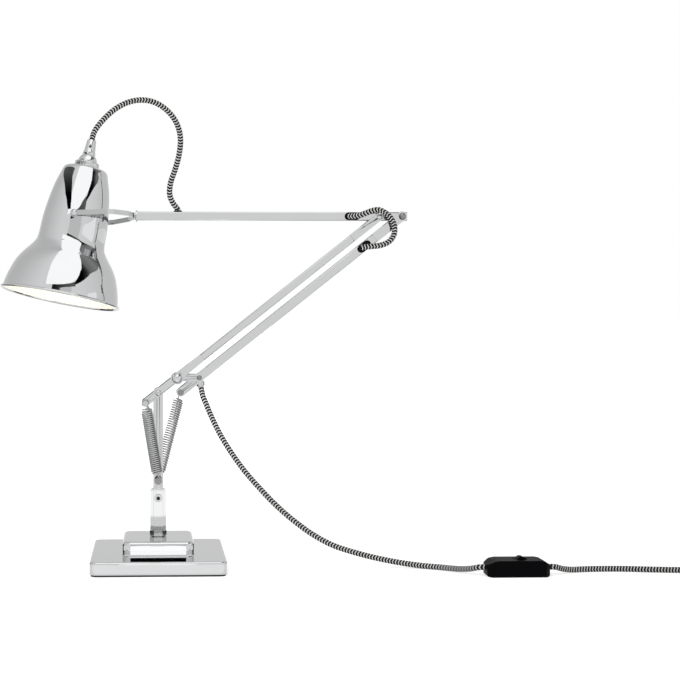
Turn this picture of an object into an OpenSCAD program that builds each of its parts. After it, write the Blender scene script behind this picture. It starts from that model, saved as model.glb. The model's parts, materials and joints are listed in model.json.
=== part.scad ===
// Spring balanced desk lamp: a weighted stepped base, a swivelling column,
// two parallel square tubes, a long forearm, and a bell shade hung in a yoke.
// Millimetres. X runs along the arms, Y away from the near side, Z up.
// The origin is the centre of the foot pad's underside.

/* [Base] */
// Side of the lower step
base_w = 150; // [120:1:190]
// Height of the lower step above the foot pad
base_h = 14; // [10:0.5:20]
// Vertical corner radius of the lower step
base_r = 8; // [5:0.5:14]
// Side of the upper step
step_w = 80; // [60:1:100]
// Height of the upper step
step_h = 16; // [12:0.5:24]
// Vertical corner radius of the upper step
step_r = 9; // [6:0.5:14]
// Radius that rounds the lower step's top edges
edge_r = 2.5; // [1:0.5:4]
// Radius that rounds the upper step's top edges
step_edge_r = 4.5; // [2:0.5:5.5]
// Wall of the pressed base cover
cover_t = 1.2; // [0.8:0.1:2]
// Thickness of the foot pad
pad_t = 2; // [1.5:0.5:4]
// Distance from the cover's side to the pad's side
pad_inset = 1.2; // [0.5:0.1:4]
// Gap between the weight and the cover
weight_gap = 0.3; // [0.1:0.1:1]
// Outer radius of the spindle's socket
socket_r = 12; // [9:0.5:16]

/* [Column] */
// Radius of the swivel spindle
spindle_r = 6; // [4.5:0.25:7]
// Width across the flats of the foot collar
collar_af = 16.5; // [15:0.5:20]
// Height of the foot collar
collar_h = 8.2; // [5:0.2:12]
// Width of the column block
block_w = 17.8; // [15:0.2:22]
// Height of the top of the column block
block_top = 86; // [80:1:88]
// Clear gap between the side plates
plate_gap = 15; // [14.4:0.2:17]
// Width of a side plate
plate_w = 11; // [9:0.5:13]
// Thickness of a side plate
plate_t = 2; // [1.5:0.25:3]
// Height of the side plates' lower ends
plate_foot = 51.5; // [46:0.5:60]
// Height of the column screw
screw_z = 76.5; // [70:0.5:79]
// Height of the pin that anchors the springs
anchor_z = 97; // [94:0.5:104]
// Height of the shoulder pivot
shoulder_z = 196; // [185:1:205]
// Radius of the anchor pin
anchor_r = 2.5; // [1.5:0.25:2.5]

/* [Arms] */
// Angle of the lower arm above the horizontal
arm_a = 38.4; // [34:0.2:42]
// Shoulder pivot to link pivot
link_at = 27; // [25:0.5:30]
// Link pivot to elbow pivot
arm_len = 296; // [260:2:340]
// Distance between the two pivots of a link
link_len = 25.5; // [24:0.5:28]
// Shoulder pivot to front spring pin
lever_len = 18.6; // [17:0.2:21]
// Side of the lower tube
lower_w = 8.5; // [7.5:0.1:9]
// Side of the rear tube and of the forearm
tube_w = 10; // [9.5:0.1:10.5]
// Wall of the square tubes
tube_t = 1.2; // [0.8:0.1:1.3]
// Outer corner radius of the square tubes
tube_r = 1.4; // [0.5:0.1:2]
// Elbow pivot to the forearm's shade end
fore_len = 277; // [250:1:300]
// Thickness of the fork bars beside the column
fork_t = 2.5; // [2:0.25:3]
// Thickness of link plates and elbow cheeks
cheek_t = 2; // [1.5:0.25:2.5]
// Height of the link plates
link_h = 8; // [7:0.5:9]
// Length of an elbow cheek behind its pivot
cheek_len = 40; // [36:1:48]
// Radius of the shoulder and knob bolts
bolt_r = 3; // [2:0.1:3]
// Radius of the elbow bolts and of the lever bolt
pivot_r = 2.5; // [2:0.1:2.5]
// Radius of the friction knob
knob_r = 7.6; // [6:0.2:9]

/* [Springs] */
// Outer diameter of a spring
spring_d = 13.2; // [12:0.2:13.4]
// Spring wire diameter
wire_d = 1.8; // [1.5:0.1:2]
// Curls of each spring
curls = 22; // [16:1:24]
// Anchor pin to the first curl
spring_tail = 8; // [7:0.5:10]

/* [Shade] */
// Rim to yoke pivots, along the shade's axis
pivot_h = 94; // [88:1:100]
// Tilt of the shade's axis from upright
tilt_a = 11; // [6:0.5:16]
// Roll of the yoke about the forearm
roll_a = 6; // [0:0.5:10]
// Wall of the spun shade
shade_t = 1.2; // [0.8:0.1:1.6]
// Forearm end to the shade pivots
yoke_reach = 69.6; // [68:0.2:78]
// Angle by which the yoke hangs below the forearm's line
droop_a = 2.1; // [0:0.1:4]
// Height of the yoke's strip
yoke_h = 5.5; // [5:0.5:8]
// Thickness of the yoke's strip
yoke_t = 1.6; // [1.2:0.1:2.4]
// Half the distance between the yoke's arms
yoke_in = 38.6; // [38.4:0.1:40]
// Height of the knurled ring
ring_h = 7; // [5:0.5:9]
// Height of the domed cap
cap_h = 7.8; // [6:0.2:9]
// Height of the cord grip
grip_h = 15; // [10:1:20]

/* [Cord and switch] */
// Diameter of the woven cord
cord_d = 6.5; // [5:0.1:6.5]
// Length of the switch
switch_l = 69; // [60:1:80]
// Width of the switch
switch_w = 28; // [24:1:32]
// Height of the switch
switch_h = 18; // [16:0.5:22]
// Length of the plug's body
plug_l = 36; // [30:1:40]

/* [Hidden] */

$fn = 64;
play = 0.05;
open_play = 0.15;
seat = 0.3;
head_h = 2.2;
socket_floor = 3;
spindle_up = 10;
lever_r = 2;
base_top = pad_t + base_h;
step_top = base_top + step_h;
collar_z = step_top + seat;
block_z = collar_z + collar_h;
plate_in = plate_gap / 2;
plate_out = plate_in + plate_t;
fork_in = plate_out + seat;
fork_out = fork_in + fork_t;
tube_half = tube_w / 2;
lower_half = lower_w / 2;
lever_t = 1.5;
lever_out = tube_half + play + lever_t;
link_in = lever_out + seat;
link_out = link_in + cheek_t;
cheek_in = tube_half + seat;
cheek_out = cheek_in + cheek_t;
cheek_gap = 23.5;
spring_r = (spring_d - wire_d) / 2;
spring_y = plate_out + spring_d / 2 + 0.5;
pin_end = spring_y + 4;
cord_r = cord_d / 2;
gap_air = 0.6;

// Points of the linkage in the plane of the arms, as [x, z].
function dir(a) = [cos(a), sin(a)];
shoulder = [0, shoulder_z];
anchor = [0, anchor_z];
link_1 = shoulder + link_at * dir(arm_a);
link_2 = link_1 + [link_len, 0];
elbow_1 = link_1 + arm_len * dir(arm_a);
elbow_2 = elbow_1 + [link_len, 0];
spring_1 = shoulder - lever_len * dir(arm_a);
spring_2 = shoulder + [link_len, 0];
fore_end = elbow_1[0] - fore_len;
fore_z = elbow_1[1];

// Cord routes, in millimetres: points chosen along the cord as it lies. The loops start from the
// elbow pivot and from the forearm's end, the power cord leaves its bush along the bush's axis.
elbow_route = [for (q = [[-35.6, -4.8, 0.1], [-32.1, -6.9, 0.1], [-27.6, -9.3, 0.4], [-22.1, -11.6, 1.6],
    [-16.1, -13.2, 3.8], [-10.1, -14, 6], [-3.1, -14.4, 6.9], [4.3, -14.4, 3.9], [10.4, -14.2, -1.6],
    [14.3, -14, -8.6], [15.5, -13.8, -16.1], [14.1, -13.6, -22.8], [9.7, -13.4, -28.6], [3.3, -12.9, -32.2],
    [-3.1, -12, -33.8], [-8.1, -11, -34.3], [-12.5, -9.7, -34.7]]) q + [elbow_1[0], 0, elbow_1[1]]];
top_at = 46.3;
shade_route = [for (q = [[top_at, 0, 2.4], [top_at, 0, 7.2], [top_at - 2, 0.3, 10.4], [40.6, 0.6, 15.4],
    [37.1, 1, 24.4], [37.9, 1.6, 37.4], [43.3, 2.2, 53.9], [47.9, 2.8, 71.4], [49.3, 3.4, 88.9],
    [46.9, 3.9, 101.9], [40.7, 4.5, 113.9], [30.5, 5.2, 124.4], [18.2, 5.9, 131.2], [3.9, 6.6, 133.4],
    [-11.6, 7.3, 130.4], [-26.9, 8, 121.9], [-39.3, 8.6, 110.4], [-47.3, 9.3, 100.4], [-50.3, 9.8, 94.4],
    [-51.9, 9.3, 87.6]]) q + [fore_end, 0, fore_z]];
switch_x = 391.75;
switch_y = -77;
exit_a = 11;
function on_axis(d) = [link_2[0] + d * sin(exit_a), 0, link_2[1] - d * cos(exit_a)];
bush_face = 9.9;
power_route = concat([on_axis(bush_face + 0.15), on_axis(bush_face + 6)], [[50.9, -0.2, 191.5],
    [54, -0.4, 184], [59.8, -0.5, 170], [70.5, -0.8, 148], [83.3, -1, 127], [98.5, -2, 106], [115.5, -3.2, 86.5],
    [135.5, -5.6, 66], [156, -8.4, 48.5], [177, -12, 33.8], [198, -15.8, 23], [221, -20, 15.8], [246, -25, 10],
    [270, -30.5, 6], [294, -37.5, 3.6], [315, -47, 3.3], [332, -60, 4], [343, -70.2, 6.2],
    [349, -75.6, 8.4], [352, switch_y, 9], [switch_x - switch_l / 2 - 0.15, switch_y, 9]]);
lead_route = [[switch_x + switch_l / 2 + 0.15, switch_y, 9], [431, switch_y, 9], [436, -75, 8.2], [444.5, -70.5, 5.4],
    [456, -65.5, 3.5], [474, -62, 3.3], [495, -61, 3.3], [516, -62, 3.3], [540, -66, 3.3], [565, -69.5, 3.3],
    [590, -71.5, 3.3], [615, -71, 3.3], [636, -68.4, 3.3], [644, -67.6, 3.3], [651.4, -67.6, 3.3]];
plug_route = [[700.8, -16.5, 10.4], [700.8, -10, 10.4], [700.8, -3, 10.4], [700.8, 5, 9.4],
    [700.8, 11, 7.4], [700.8, 14.5, 7], [700.8, 20.35, 7]];
plug_x = 700.8;
plug_y = 20.5;
plug_z = 7;
coil_turns_in = 2.5;
coil_turns_out = 2.25;
coil_r = 44.6;
coil_c = [658, -23];
coil_step = cord_d + gap_air;
coil_z = 3.3;
coil_dip = 2;

// Shared shapes.
module rounded_square(w, r) {
    square([w - 2 * r, w], center = true);
    square([w, w - 2 * r], center = true);
    for (x = [-1, 1], y = [-1, 1]) translate([x, y] * (w / 2 - r)) circle(r, $fn = 24);
}

module slot_shape(l, w) {
    square([l - w, w], center = true);
    for (x = [-1, 1]) translate([x * (l - w) / 2, 0]) circle(w / 2);
}

// A cylinder along Y from y0 to y1 at the point p of the arm plane.
module across(p, y0, y1, r) translate([p[0], y0, p[1]]) rotate([-90, 0, 0]) cylinder(r = r, h = y1 - y0);

// The children move to the point p, with their X axis at the angle a.
module on_line(p, a) translate([p[0], 0, p[1]]) rotate([0, -a, 0]) children();

// A flat bar in the arm plane from x0 to x1, rounded at the chosen ends.
module bar(x0, x1, h, y0, y1, round0 = true, round1 = true) {
    translate([x0, y0, -h / 2]) cube([x1 - x0, y1 - y0, h]);
    if (round0) across([x0, 0], y0, y1, h / 2);
    if (round1) across([x1, 0], y0, y1, h / 2);
}

module square_tube(l, w, t) rotate([0, 90, 0]) linear_extrude(l) difference() {
    rounded_square(w, tube_r);
    rounded_square(w - 2 * t, max(tube_r - t, 0.3));
}

module in_yoke() translate([fore_end, 0, fore_z]) rotate([-roll_a, 0, 0]) rotate([0, -droop_a, 0])
    translate([-yoke_reach, 0, 0]) children();

module in_shade() in_yoke() rotate([0, tilt_a + droop_a, 0]) translate([0, 0, -pivot_h]) children();

// A domed screw head along -Y, its flat side at y = 0.
module dome(r, h) rotate([90, 0, 0]) rotate_extrude() intersection() {
    translate([0, h - (r * r + h * h) / (2 * h)]) circle((r * r + h * h) / (2 * h));
    square([r, h]);
}

// Tube swept along points, with frames carried along the path.
function unit(v) = v / norm(v);
function flat_part(u, t) = unit(u - (u * t) * t);
function tangents(p) = let(n = len(p)) [for (i = [0:n - 1])
    i == 0 ? unit(p[1] - p[0]) : i == n - 1 ? unit(p[n - 1] - p[n - 2]) : unit(p[i + 1] - p[i - 1])];
function frames(t, u0) = let(n = len(t))
    [for (i = 0, u = flat_part(u0, t[0]); i < n; i = i + 1, u = i < n ? flat_part(u, t[i]) : u) u];
function ring(c, t, u, r, n) = [for (k = [0:n - 1])
    c + r * (cos(360 * k / n) * u + sin(360 * k / n) * cross(t, u))];

module sweep(p, r, sides, up = [0, 1, 0]) {
    t = tangents(p);
    u = frames(t, up);
    n = len(p);
    m = sides;
    pts = [for (i = [0:n - 1], q = ring(p[i], t[i], u[i], r, m)) q];
    skin = [for (i = [0:n - 2], k = [0:m - 1]) let(a = i * m + k, b = i * m + (k + 1) % m)
        each [[a, a + m, b], [b, a + m, b + m]]];
    caps = [for (k = [1:m - 2]) each [[0, k, k + 1], [(n - 1) * m, (n - 1) * m + k + 1, (n - 1) * m + k]]];
    polyhedron(pts, concat(skin, caps));
}

// Least gap between two runs of one tube, for points more than skip apart.
function self_gap(p, d, skip) = min([for (i = [0:len(p) - 1]) for (j = [i + skip:1:len(p) - 1])
    norm(p[i] - p[j])]) - d;

// The path of a tension spring of length l along +Z, hooked round pins along Y at both ends.
hook_r = anchor_r + wire_d / 2 + 0.25;
hook_steps = 9;
function hook(end) = [for (i = [0:hook_steps - 1]) let(a = 75 + 255 * i / (hook_steps - 1))
    [hook_r * sin(a), 0, hook_r * cos(a) * end]];
function spring_path(l) = let(
    low = hook(1),
    high = [for (q = hook(-1)) [q[0], 0, l + q[2]]],
    n = curls * 8,
    coil_l = l - 2 * spring_tail,
    coil = [for (i = [0:n]) let(a = 360 * i / 8, s = min(i, n - i),
            r = spring_r * (0.72 + 0.28 * min(1, s / 8)))
        [r * cos(a), r * sin(a), spring_tail + coil_l * i / n]],
    back = [for (i = [0:hook_steps - 1]) high[hook_steps - 1 - i]])
    concat([low[0] + wire_d * [-0.26, 0, 0.97]], low, [[1.2, 0, hook_r + 0.4], [3.2, -1.2, spring_tail - 2.4]],
        coil, [[3.2, 1.2, l - spring_tail + 2.4], [1.2, 0, l - hook_r - 0.4]], back,
        [back[hook_steps - 1] + wire_d * [-0.26, 0, -0.97]]);

module spring(from, to, y) {
    d = to - from;
    l = norm(d);
    path = spring_path(l);
    echo(spring_gap = self_gap(path, wire_d, 5));
    translate([from[0], y, from[1]]) rotate([0, atan2(d[0], d[1]), 0]) sweep(path, wire_d / 2, 6);
}

// Base.
module foot_pad() color("dimgray") linear_extrude(pad_t)
    rounded_square(base_w - 2 * pad_inset, base_r - pad_inset);

module step_block(w, r, e, h) hull() for (x = [-1, 1], y = [-1, 1])
    translate([x * (w / 2 - r), y * (w / 2 - r), 0]) rotate_extrude($fn = 32) {
        square([r - e, h]);
        square([r, h - e]);
        intersection() {
            translate([r - e, h - e]) circle(e, $fn = 24);
            square([r, h]);
        }
    }

// Both steps, drawn in by inset and reaching down by the same amount.
module steps(inset) translate([0, 0, pad_t - inset]) {
    step_block(base_w - 2 * inset, base_r - inset, max(edge_r - inset, 0.3), base_h);
    step_block(step_w - 2 * inset, step_r - inset, max(step_edge_r - inset, 0.3), base_h + step_h);
}

module base_cover() color("gainsboro") difference() {
    steps(0);
    steps(cover_t);
    translate([0, 0, pad_t]) cylinder(r = spindle_r + 1, h = base_h + step_h + 1);
}

module base_weight() color("darkslategray") difference() {
    in = cover_t + weight_gap;
    translate([0, 0, pad_t]) {
        linear_extrude(base_h - in - 1) rounded_square(base_w - 2 * in, base_r - in);
        linear_extrude(base_h + step_h - in - 0.6 * step_edge_r) rounded_square(step_w - 2 * in, step_r - in);
    }
    translate([0, 0, pad_t - 1]) cylinder(r = socket_r + play, h = base_h + step_h + 2);
}

module base_socket() color("darkgoldenrod") translate([0, 0, pad_t]) difference() {
    cylinder(r = socket_r, h = base_h + step_h - cover_t - weight_gap);
    translate([0, 0, socket_floor]) cylinder(r = spindle_r + play, h = base_h + step_h);
}

// Column.
module spindle() color("silver") translate([0, 0, pad_t + socket_floor + seat])
    cylinder(r = spindle_r, h = block_z + spindle_up - pad_t - socket_floor - seat);

module hex_collar() color("lightgray") translate([0, 0, collar_z]) difference() {
    corner_r = collar_af / 2 / cos(30);
    intersection() {
        rotate([0, 0, 30]) cylinder(r = corner_r, h = collar_h, $fn = 6);
        rotate_extrude() polygon([[0, 0], [corner_r - 0.8, 0], [corner_r, 0.8], [corner_r, collar_h - 2],
            [corner_r - 1.8, collar_h], [0, collar_h]]);
    }
    translate([0, 0, -1]) cylinder(r = spindle_r + play, h = collar_h + 2);
}

module column_block() color("gainsboro") difference() {
    w = block_w / 2;
    union() {
        rotate([90, 0, 0]) linear_extrude(plate_gap, center = true)
            polygon([[-w, block_z], [w, block_z], [w, block_top - 2], [w - 2, block_top],
                [2 - w, block_top], [-w, block_top - 2]]);
        translate([-plate_w / 2, -plate_out, block_z])
            cube([plate_w, 2 * plate_out, plate_foot - play - block_z]);
    }
    translate([0, 0, block_z - 1]) cylinder(r = spindle_r + play, h = spindle_up + 2);
    across([0, screw_z], -plate_out, plate_out, pivot_r + play);
}

module side_plate(y0, y1) difference() {
    union() {
        translate([-plate_w / 2, y0, plate_foot]) cube([plate_w, y1 - y0, shoulder_z - plate_foot]);
        across(shoulder, y0, y1, plate_w / 2);
    }
    across([0, screw_z], y0 - 1, y1 + 1, pivot_r + play);
    across(anchor, y0 - 1, y1 + 1, anchor_r + play);
    across(shoulder, y0 - 1, y1 + 1, bolt_r + play);
}
module side_plate_near() color("gainsboro") side_plate(-plate_out, -plate_in);
module side_plate_far() color("gainsboro") side_plate(plate_in, plate_out);

module shoulder_spacer() color("silver") difference() {
    across(shoulder, -plate_in, plate_in, bolt_r + 1);
    across(shoulder, -plate_gap, plate_gap, bolt_r + play);
}

module column_screw() color("silver") difference() {
    p = [0, screw_z];
    union() {
        across(p, -plate_out - 0.02, plate_out + 0.02, pivot_r);
        across(p, -plate_out - 0.02 - head_h, -plate_out - 0.02, pivot_r + 2.1);
        across(p, plate_out + 0.02, plate_out + 0.02 + head_h, pivot_r + 2.1);
    }
    translate([0, -plate_out - head_h / 2, screw_z]) rotate([90, 30, 0])
        cylinder(r = pivot_r - 0.2, h = head_h, $fn = 6);
}

module anchor_pin() color("silver") {
    across(anchor, -pin_end, pin_end, anchor_r);
    for (s = [-1, 1]) translate([0, s * (pin_end + 0.6), 0]) across(anchor, -0.6, 0.6, anchor_r + 1.3);
}

module shoulder_bolt() color("dimgray") {
    across(shoulder, -fork_out - 0.1, fork_out + 0.1, bolt_r);
    translate([0, -fork_out - 0.1, shoulder_z]) dome(bolt_r + 0.6, head_h);
    translate([0, fork_out + 0.1, shoulder_z]) rotate([0, 0, 180]) dome(bolt_r + 0.6, head_h);
}

// Lower arm.
fork_end = link_at + 37;
fork_neck = link_at + 19;
module shoulder_fork() color("lightgray") on_line(shoulder, arm_a) difference() {
    h = lower_w;
    back = -lever_len - h / 2;
    tip = lower_half + 2.4;
    intersection() {
        translate([0, 0, -h / 2]) linear_extrude(h) difference() {
            polygon([[back, -fork_out], [fork_neck, -fork_out], [fork_end, -tip], [fork_end, tip],
                [fork_neck, fork_out], [back, fork_out]]);
            polygon([[back - 1, -fork_in], [fork_neck, -fork_in], [fork_neck + 8, -lower_half],
                [fork_neck + 8, lower_half], [fork_neck, fork_in], [back - 1, fork_in]]);
        }
        bar(-lever_len, fork_end, h, -fork_out - 1, fork_out + 1, true, false);
    }
    translate([fork_neck - 1, -lower_half - play, -lower_half - play])
        cube([fork_end, lower_w + 2 * play, lower_w + 2 * play]);
    across([-lever_len, 0], -fork_out - 1, fork_out + 1, lever_r + play);
    across([0, 0], -fork_out - 1, fork_out + 1, bolt_r + play);
    across([link_at, 0], -fork_out - 1, fork_out + 1, bolt_r + play);
}

module lower_tube() color("lightgray") on_line(shoulder, arm_a) difference() {
    start = link_at - 6;
    translate([start, 0, 0]) square_tube(arm_len + link_at - cheek_gap - start, lower_w, tube_t);
    across([link_at, 0], -lower_w, lower_w, bolt_r + play);
}

module spring_pins() color("silver") for (s = [-1, 1]) {
    lo = s < 0 ? -pin_end : fork_in;
    hi = s < 0 ? -fork_in : pin_end;
    across(spring_1, lo, hi, lever_r);
    across(spring_1, s < 0 ? lo - 1.2 : hi, s < 0 ? lo : hi + 1.2, lever_r + 1.2);
}

module knob_bolt() color("silver") {
    across(link_1, -fork_out - seat - 6.4, fork_out, bolt_r);
    translate([link_1[0], fork_out + head_h, link_1[1]]) rotate([90, 0, 0])
        cylinder(r = bolt_r * 1.9, h = head_h, $fn = 6);
}

module link_spacers() color("silver") difference() {
    union() {
        across(link_1, -link_in + 0.15, -lower_half - 0.1, bolt_r + 1.6);
        across(link_1, lower_half + 0.1, link_in - 0.15, bolt_r + 1.6);
        across(link_1, -fork_in + 0.1, -link_out - 0.15, bolt_r + 1.6);
        across(link_1, link_out + 0.15, fork_in - 0.1, bolt_r + 1.6);
    }
    across(link_1, -fork_out, fork_out, bolt_r + play);
}

// Cheek plates that carry an elbow pivot past the end of a tube of half width half.
module cheek_pair(half, h, hole) for (s = [-1, 1]) difference() {
    union() {
        bar(-cheek_len, 0, h, s < 0 ? -cheek_out : cheek_in, s < 0 ? -cheek_in : cheek_out, false, false);
        across([0, 0], s < 0 ? -cheek_out : cheek_in, s < 0 ? -cheek_in : cheek_out, h / 2 + 0.8);
        translate([-cheek_len, s < 0 ? -cheek_in : half + play, -h / 2])
            cube([cheek_len - cheek_gap - 0.5, cheek_in - half - play, h]);
    }
    across([0, 0], -cheek_out - 1, cheek_out + 1, hole);
}

module elbow_cheeks() color("lightgray") on_line(elbow_1, arm_a)
    cheek_pair(lower_half, lower_w, pivot_r + play);

module elbow_bolt() color("silver") {
    across(elbow_1, -cheek_out, cheek_out, pivot_r);
    for (s = [0, 180]) translate([elbow_1[0], 0, elbow_1[1]]) rotate([0, 0, s]) translate([0, -cheek_out, 0])
        dome(pivot_r + 1.4, head_h);
}

module link_plates() color("gainsboro") on_line(link_1, 0) for (s = [-1, 1]) difference() {
    y0 = s < 0 ? -link_out : link_in;
    bar(0, link_len, link_h, y0, y0 + cheek_t);
    across([0, 0], y0 - 1, y0 + cheek_t + 1, bolt_r + play);
    across([link_len, 0], y0 - 1, y0 + cheek_t + 1, lever_r + open_play);
}

module friction_knob() color("silver") translate([link_1[0], -fork_out - seat, link_1[1]]) rotate([90, 0, 0])
    difference() {
        dome_r = knob_r - 1.6;
        rim_h = 4;
        rotate_extrude() {
            polygon([[0, 0], [knob_r - 0.8, 0], [knob_r, 0.8], [knob_r, rim_h - 0.8], [knob_r - 0.8, rim_h],
                [0, rim_h]]);
            translate([0, rim_h - 1.5]) intersection() {
                circle(dome_r);
                square(dome_r);
            }
        }
        translate([0, 0, -1]) cylinder(r = bolt_r + play, h = rim_h + 4);
        for (i = [0:17]) rotate([0, 0, 20 * i]) translate([knob_r + 0.3, 0, 1])
            cylinder(r = 0.8, h = rim_h - 2, $fn = 16);
    }

// Rear tube, which carries the rear spring's lever.
rear_slot = arm_len - 55.5;
fore_slot = 31.6;
module rear_tube() color("lightgray") on_line(link_2, arm_a) difference() {
    start = -7;
    translate([start, 0, 0]) square_tube(arm_len - cheek_gap - start, tube_w, tube_t);
    across([0, 0], -tube_w, tube_w, lever_r + play);
    rotate([0, arm_a, 0]) on_exit() cylinder(r = bush_r + play, h = 9);
    translate([rear_slot, 0, 0]) grommet_hole();
}

module rear_lever() color("lightgray") on_line(link_2, arm_a) for (s = [-1, 1]) difference() {
    y0 = s < 0 ? -lever_out : tube_half + play;
    bar(-link_at, 14, tube_w, y0, y0 + lever_t, true, false);
    for (x = [0, -link_at]) across([x, 0], y0 - 1, y0 + lever_t + 1, lever_r + play);
}

module lever_bolt() color("dimgray") {
    across(spring_2, -lever_out, lever_out, lever_r);
    for (s = [-1, 1]) translate([spring_2[0], s < 0 ? -lever_out : lever_out + 0.7, spring_2[1]])
        rotate([90, 0, 0]) cylinder(r = 3.6, h = 0.7);
}

module link_screws() color("silver") for (s = [0, 180])
    translate([link_2[0], 0, link_2[1]]) rotate([0, 0, s]) {
        across([0, 0], -link_out - 0.1, -tube_half + tube_t, lever_r);
        translate([0, -link_out - 0.1, 0]) dome(lever_r + 0.9, 1.6);
    }

module rear_cheeks() color("lightgray") on_line(elbow_2, arm_a) cheek_pair(tube_half, tube_w, pivot_r + play);

module rear_bolt() color("dimgray") {
    across(elbow_2, -cheek_out, cheek_out, pivot_r);
    translate([elbow_2[0], -cheek_out, elbow_2[1]]) dome(4.2, 3.6);
    across(elbow_2, cheek_out, cheek_out + head_h, 4.2);
}

// An oval grommet on the near face of a tube, centred on the origin, and its hole in the tube.
grommet_l = 14.5;
grommet_h = 6.9;
module grommet() difference() {
    union() {
        translate([0, -tube_half - 0.02, 0]) rotate([90, 0, 0])
            linear_extrude(1.4) slot_shape(grommet_l + 2.9, grommet_h + 1.9);
        translate([0, -tube_half + tube_t, 0]) rotate([90, 0, 0])
            linear_extrude(tube_t + 0.1) slot_shape(grommet_l + 0.6, grommet_h + 0.6);
    }
    translate([0, -tube_half + 2, 0]) rotate([90, 0, 0]) linear_extrude(5) slot_shape(grommet_l, grommet_h);
}
module grommet_hole() rotate([90, 0, 0]) linear_extrude(tube_w)
    slot_shape(grommet_l + 0.6 + 2 * play, grommet_h + 0.6 + 2 * play);
module rear_grommet() color("black") on_line(link_2, arm_a) translate([rear_slot, 0, 0]) grommet();
module forearm_grommet() color("black") on_line([elbow_1[0] - fore_slot, fore_z], 0) grommet();

// The power cord's way out of the rear tube's lower end, steeper than square to the tube.
bush_r = cord_r + 0.95;
module on_exit() rotate([0, 180 - exit_a, 0]) children();
module cord_bush() color("black") translate([link_2[0], 0, link_2[1]]) difference() {
    on_exit() {
        translate([0, 0, 3]) cylinder(r = bush_r, h = 4);
        translate([0, 0, 5]) cylinder(r1 = cord_r + 2, r2 = cord_r + 1.3, h = bush_face - 5);
    }
    on_exit() cylinder(r = cord_r + 0.35, h = 12);
    difference() {
        rotate([0, -arm_a, 0]) cube([60, tube_w + 0.1, tube_w + 0.1], center = true);
        on_exit() cylinder(r = bush_r + 0.01, h = 12);
    }
    rotate([0, -arm_a, 0]) cube([60, tube_w - 2 * tube_t, tube_w - 2 * tube_t], center = true);
}

// Forearm. The shade's cord leaves it at top_x.
top_x = fore_end + top_at;
module forearm_tube() color("lightgray") on_line([fore_end, fore_z], 0) difference() {
    square_tube(fore_len + link_len + 6, tube_w, tube_t);
    for (x = [fore_len, fore_len + link_len]) across([x, 0], -tube_w, tube_w, pivot_r + play);
    translate([fore_len - fore_slot, 0, 0]) grommet_hole();
    translate([top_at, 0, tube_half - 2]) cylinder(r = cord_r + 0.8, h = 4);
}

module top_grommet() color("black") translate([top_x, 0, fore_z + tube_half]) difference() {
    union() {
        cylinder(r = cord_r + 1.5, h = 1.4);
        translate([0, 0, -tube_t]) cylinder(r = cord_r + 0.75, h = tube_t);
    }
    translate([0, 0, -3]) cylinder(r = cord_r + 0.35, h = 8);
}

module end_collar() color("gray") on_line([fore_end, fore_z], 0) difference() {
    inner = tube_w - 2 * tube_t - 2 * play;
    union() {
        rotate([0, -90, 0]) cylinder(r = 6.8, h = 1.5);
        rotate([0, 90, 0]) linear_extrude(14) rounded_square(inner, 0.5);
    }
    translate([-2, 0, 0]) rotate([0, 90, 0]) cylinder(r = 2.5 + play, h = 20);
}

// Yoke: a strip bent round the shade, on a stem that turns in the end collar.
function band(p, t) = let(n = len(p), side = [for (i = [0:n - 1]) let(
        a = unit(p[min(i + 1, n - 1)] - p[max(i - 1, 0)])) [-a[1], a[0]] * t / 2])
    concat([for (i = [0:n - 1]) p[i] + side[i]], [for (i = [n - 1:-1:0]) p[i] - side[i]]);

yoke_mid = yoke_in + yoke_t / 2;
hub_at = yoke_reach - 1.5 - seat;
bend_1 = [43, yoke_mid - 3];
bend_2 = [59.5, 21];
module yoke() color("silver") {
    in_yoke() for (s = [-1, 1]) difference() {
        union() {
            translate([0, 0, -yoke_h / 2]) linear_extrude(yoke_h)
                polygon(band([for (q = [[0, yoke_mid], [31, yoke_mid], [37, yoke_mid - 0.8], bend_1, bend_2,
                    [63.8, 11], [hub_at - 2, 3.2]]) [q[0], s * q[1]]], yoke_t));
            across([0, 0], s * yoke_mid - yoke_t / 2, s * yoke_mid + yoke_t / 2, yoke_h / 2 + 1);
        }
        across([0, 0], -yoke_in - 3, yoke_in + 3, lever_r + play);
    }
    in_yoke() translate([hub_at - 5, 0, 0]) rotate([0, 90, 0]) cylinder(r = 4.4, h = 5);
    on_line([fore_end - 3.5, fore_z], 0) rotate([0, 90, 0]) cylinder(r = 2.5, h = 16);
}

// Two domed screws inside the far arm: on its straight part, and half way down its slope.
module yoke_screws() color("dimgray") in_yoke() {
    translate([27.5, yoke_in - 0.02, 0]) dome(2.6, 2.6);
    d = bend_2 - bend_1;
    translate((bend_1 + bend_2) / 2) rotate([0, 0, 180 + atan2(d[1], d[0])])
        translate([0, -yoke_t / 2 - 0.02, 0]) dome(2.7, 2.8);
}

// Shade, a body of revolution about its own axis. Points are [radius, height above the rim].
lip_r = 68.5;
shade_curve = [[65.8, 3.2], [64.8, 10], [63, 18], [60.6, 26], [57.6, 34], [53.8, 41], [49.7, 47],
    [46.2, 51.4], [43.5, 55], [40.8, 59], [39.2, 62], [38.4, 65.5], [37.9, 70], [37.7, 77], [37.5, 86],
    [36.7, 96], [35.3, 107], [33.8, 117], [32.1, 126], [30.4, 133], [28.6, 139], [27.2, 143.4],
    [26.1, 147.2], [25.1, 149.8], [23.5, 151.5], [21, 152.4], [16, 152.6]];
shade_top = shade_curve[len(shade_curve) - 1][1] + 0.2;
function side_normal(p, i) = let(n = len(p), a = unit(p[min(i + 1, n - 1)] - p[max(i - 1, 0)])) [a[1], -a[0]];
shade_in = [for (i = [0:len(shade_curve) - 1]) shade_curve[i] - shade_t * side_normal(shade_curve, i)];

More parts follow.
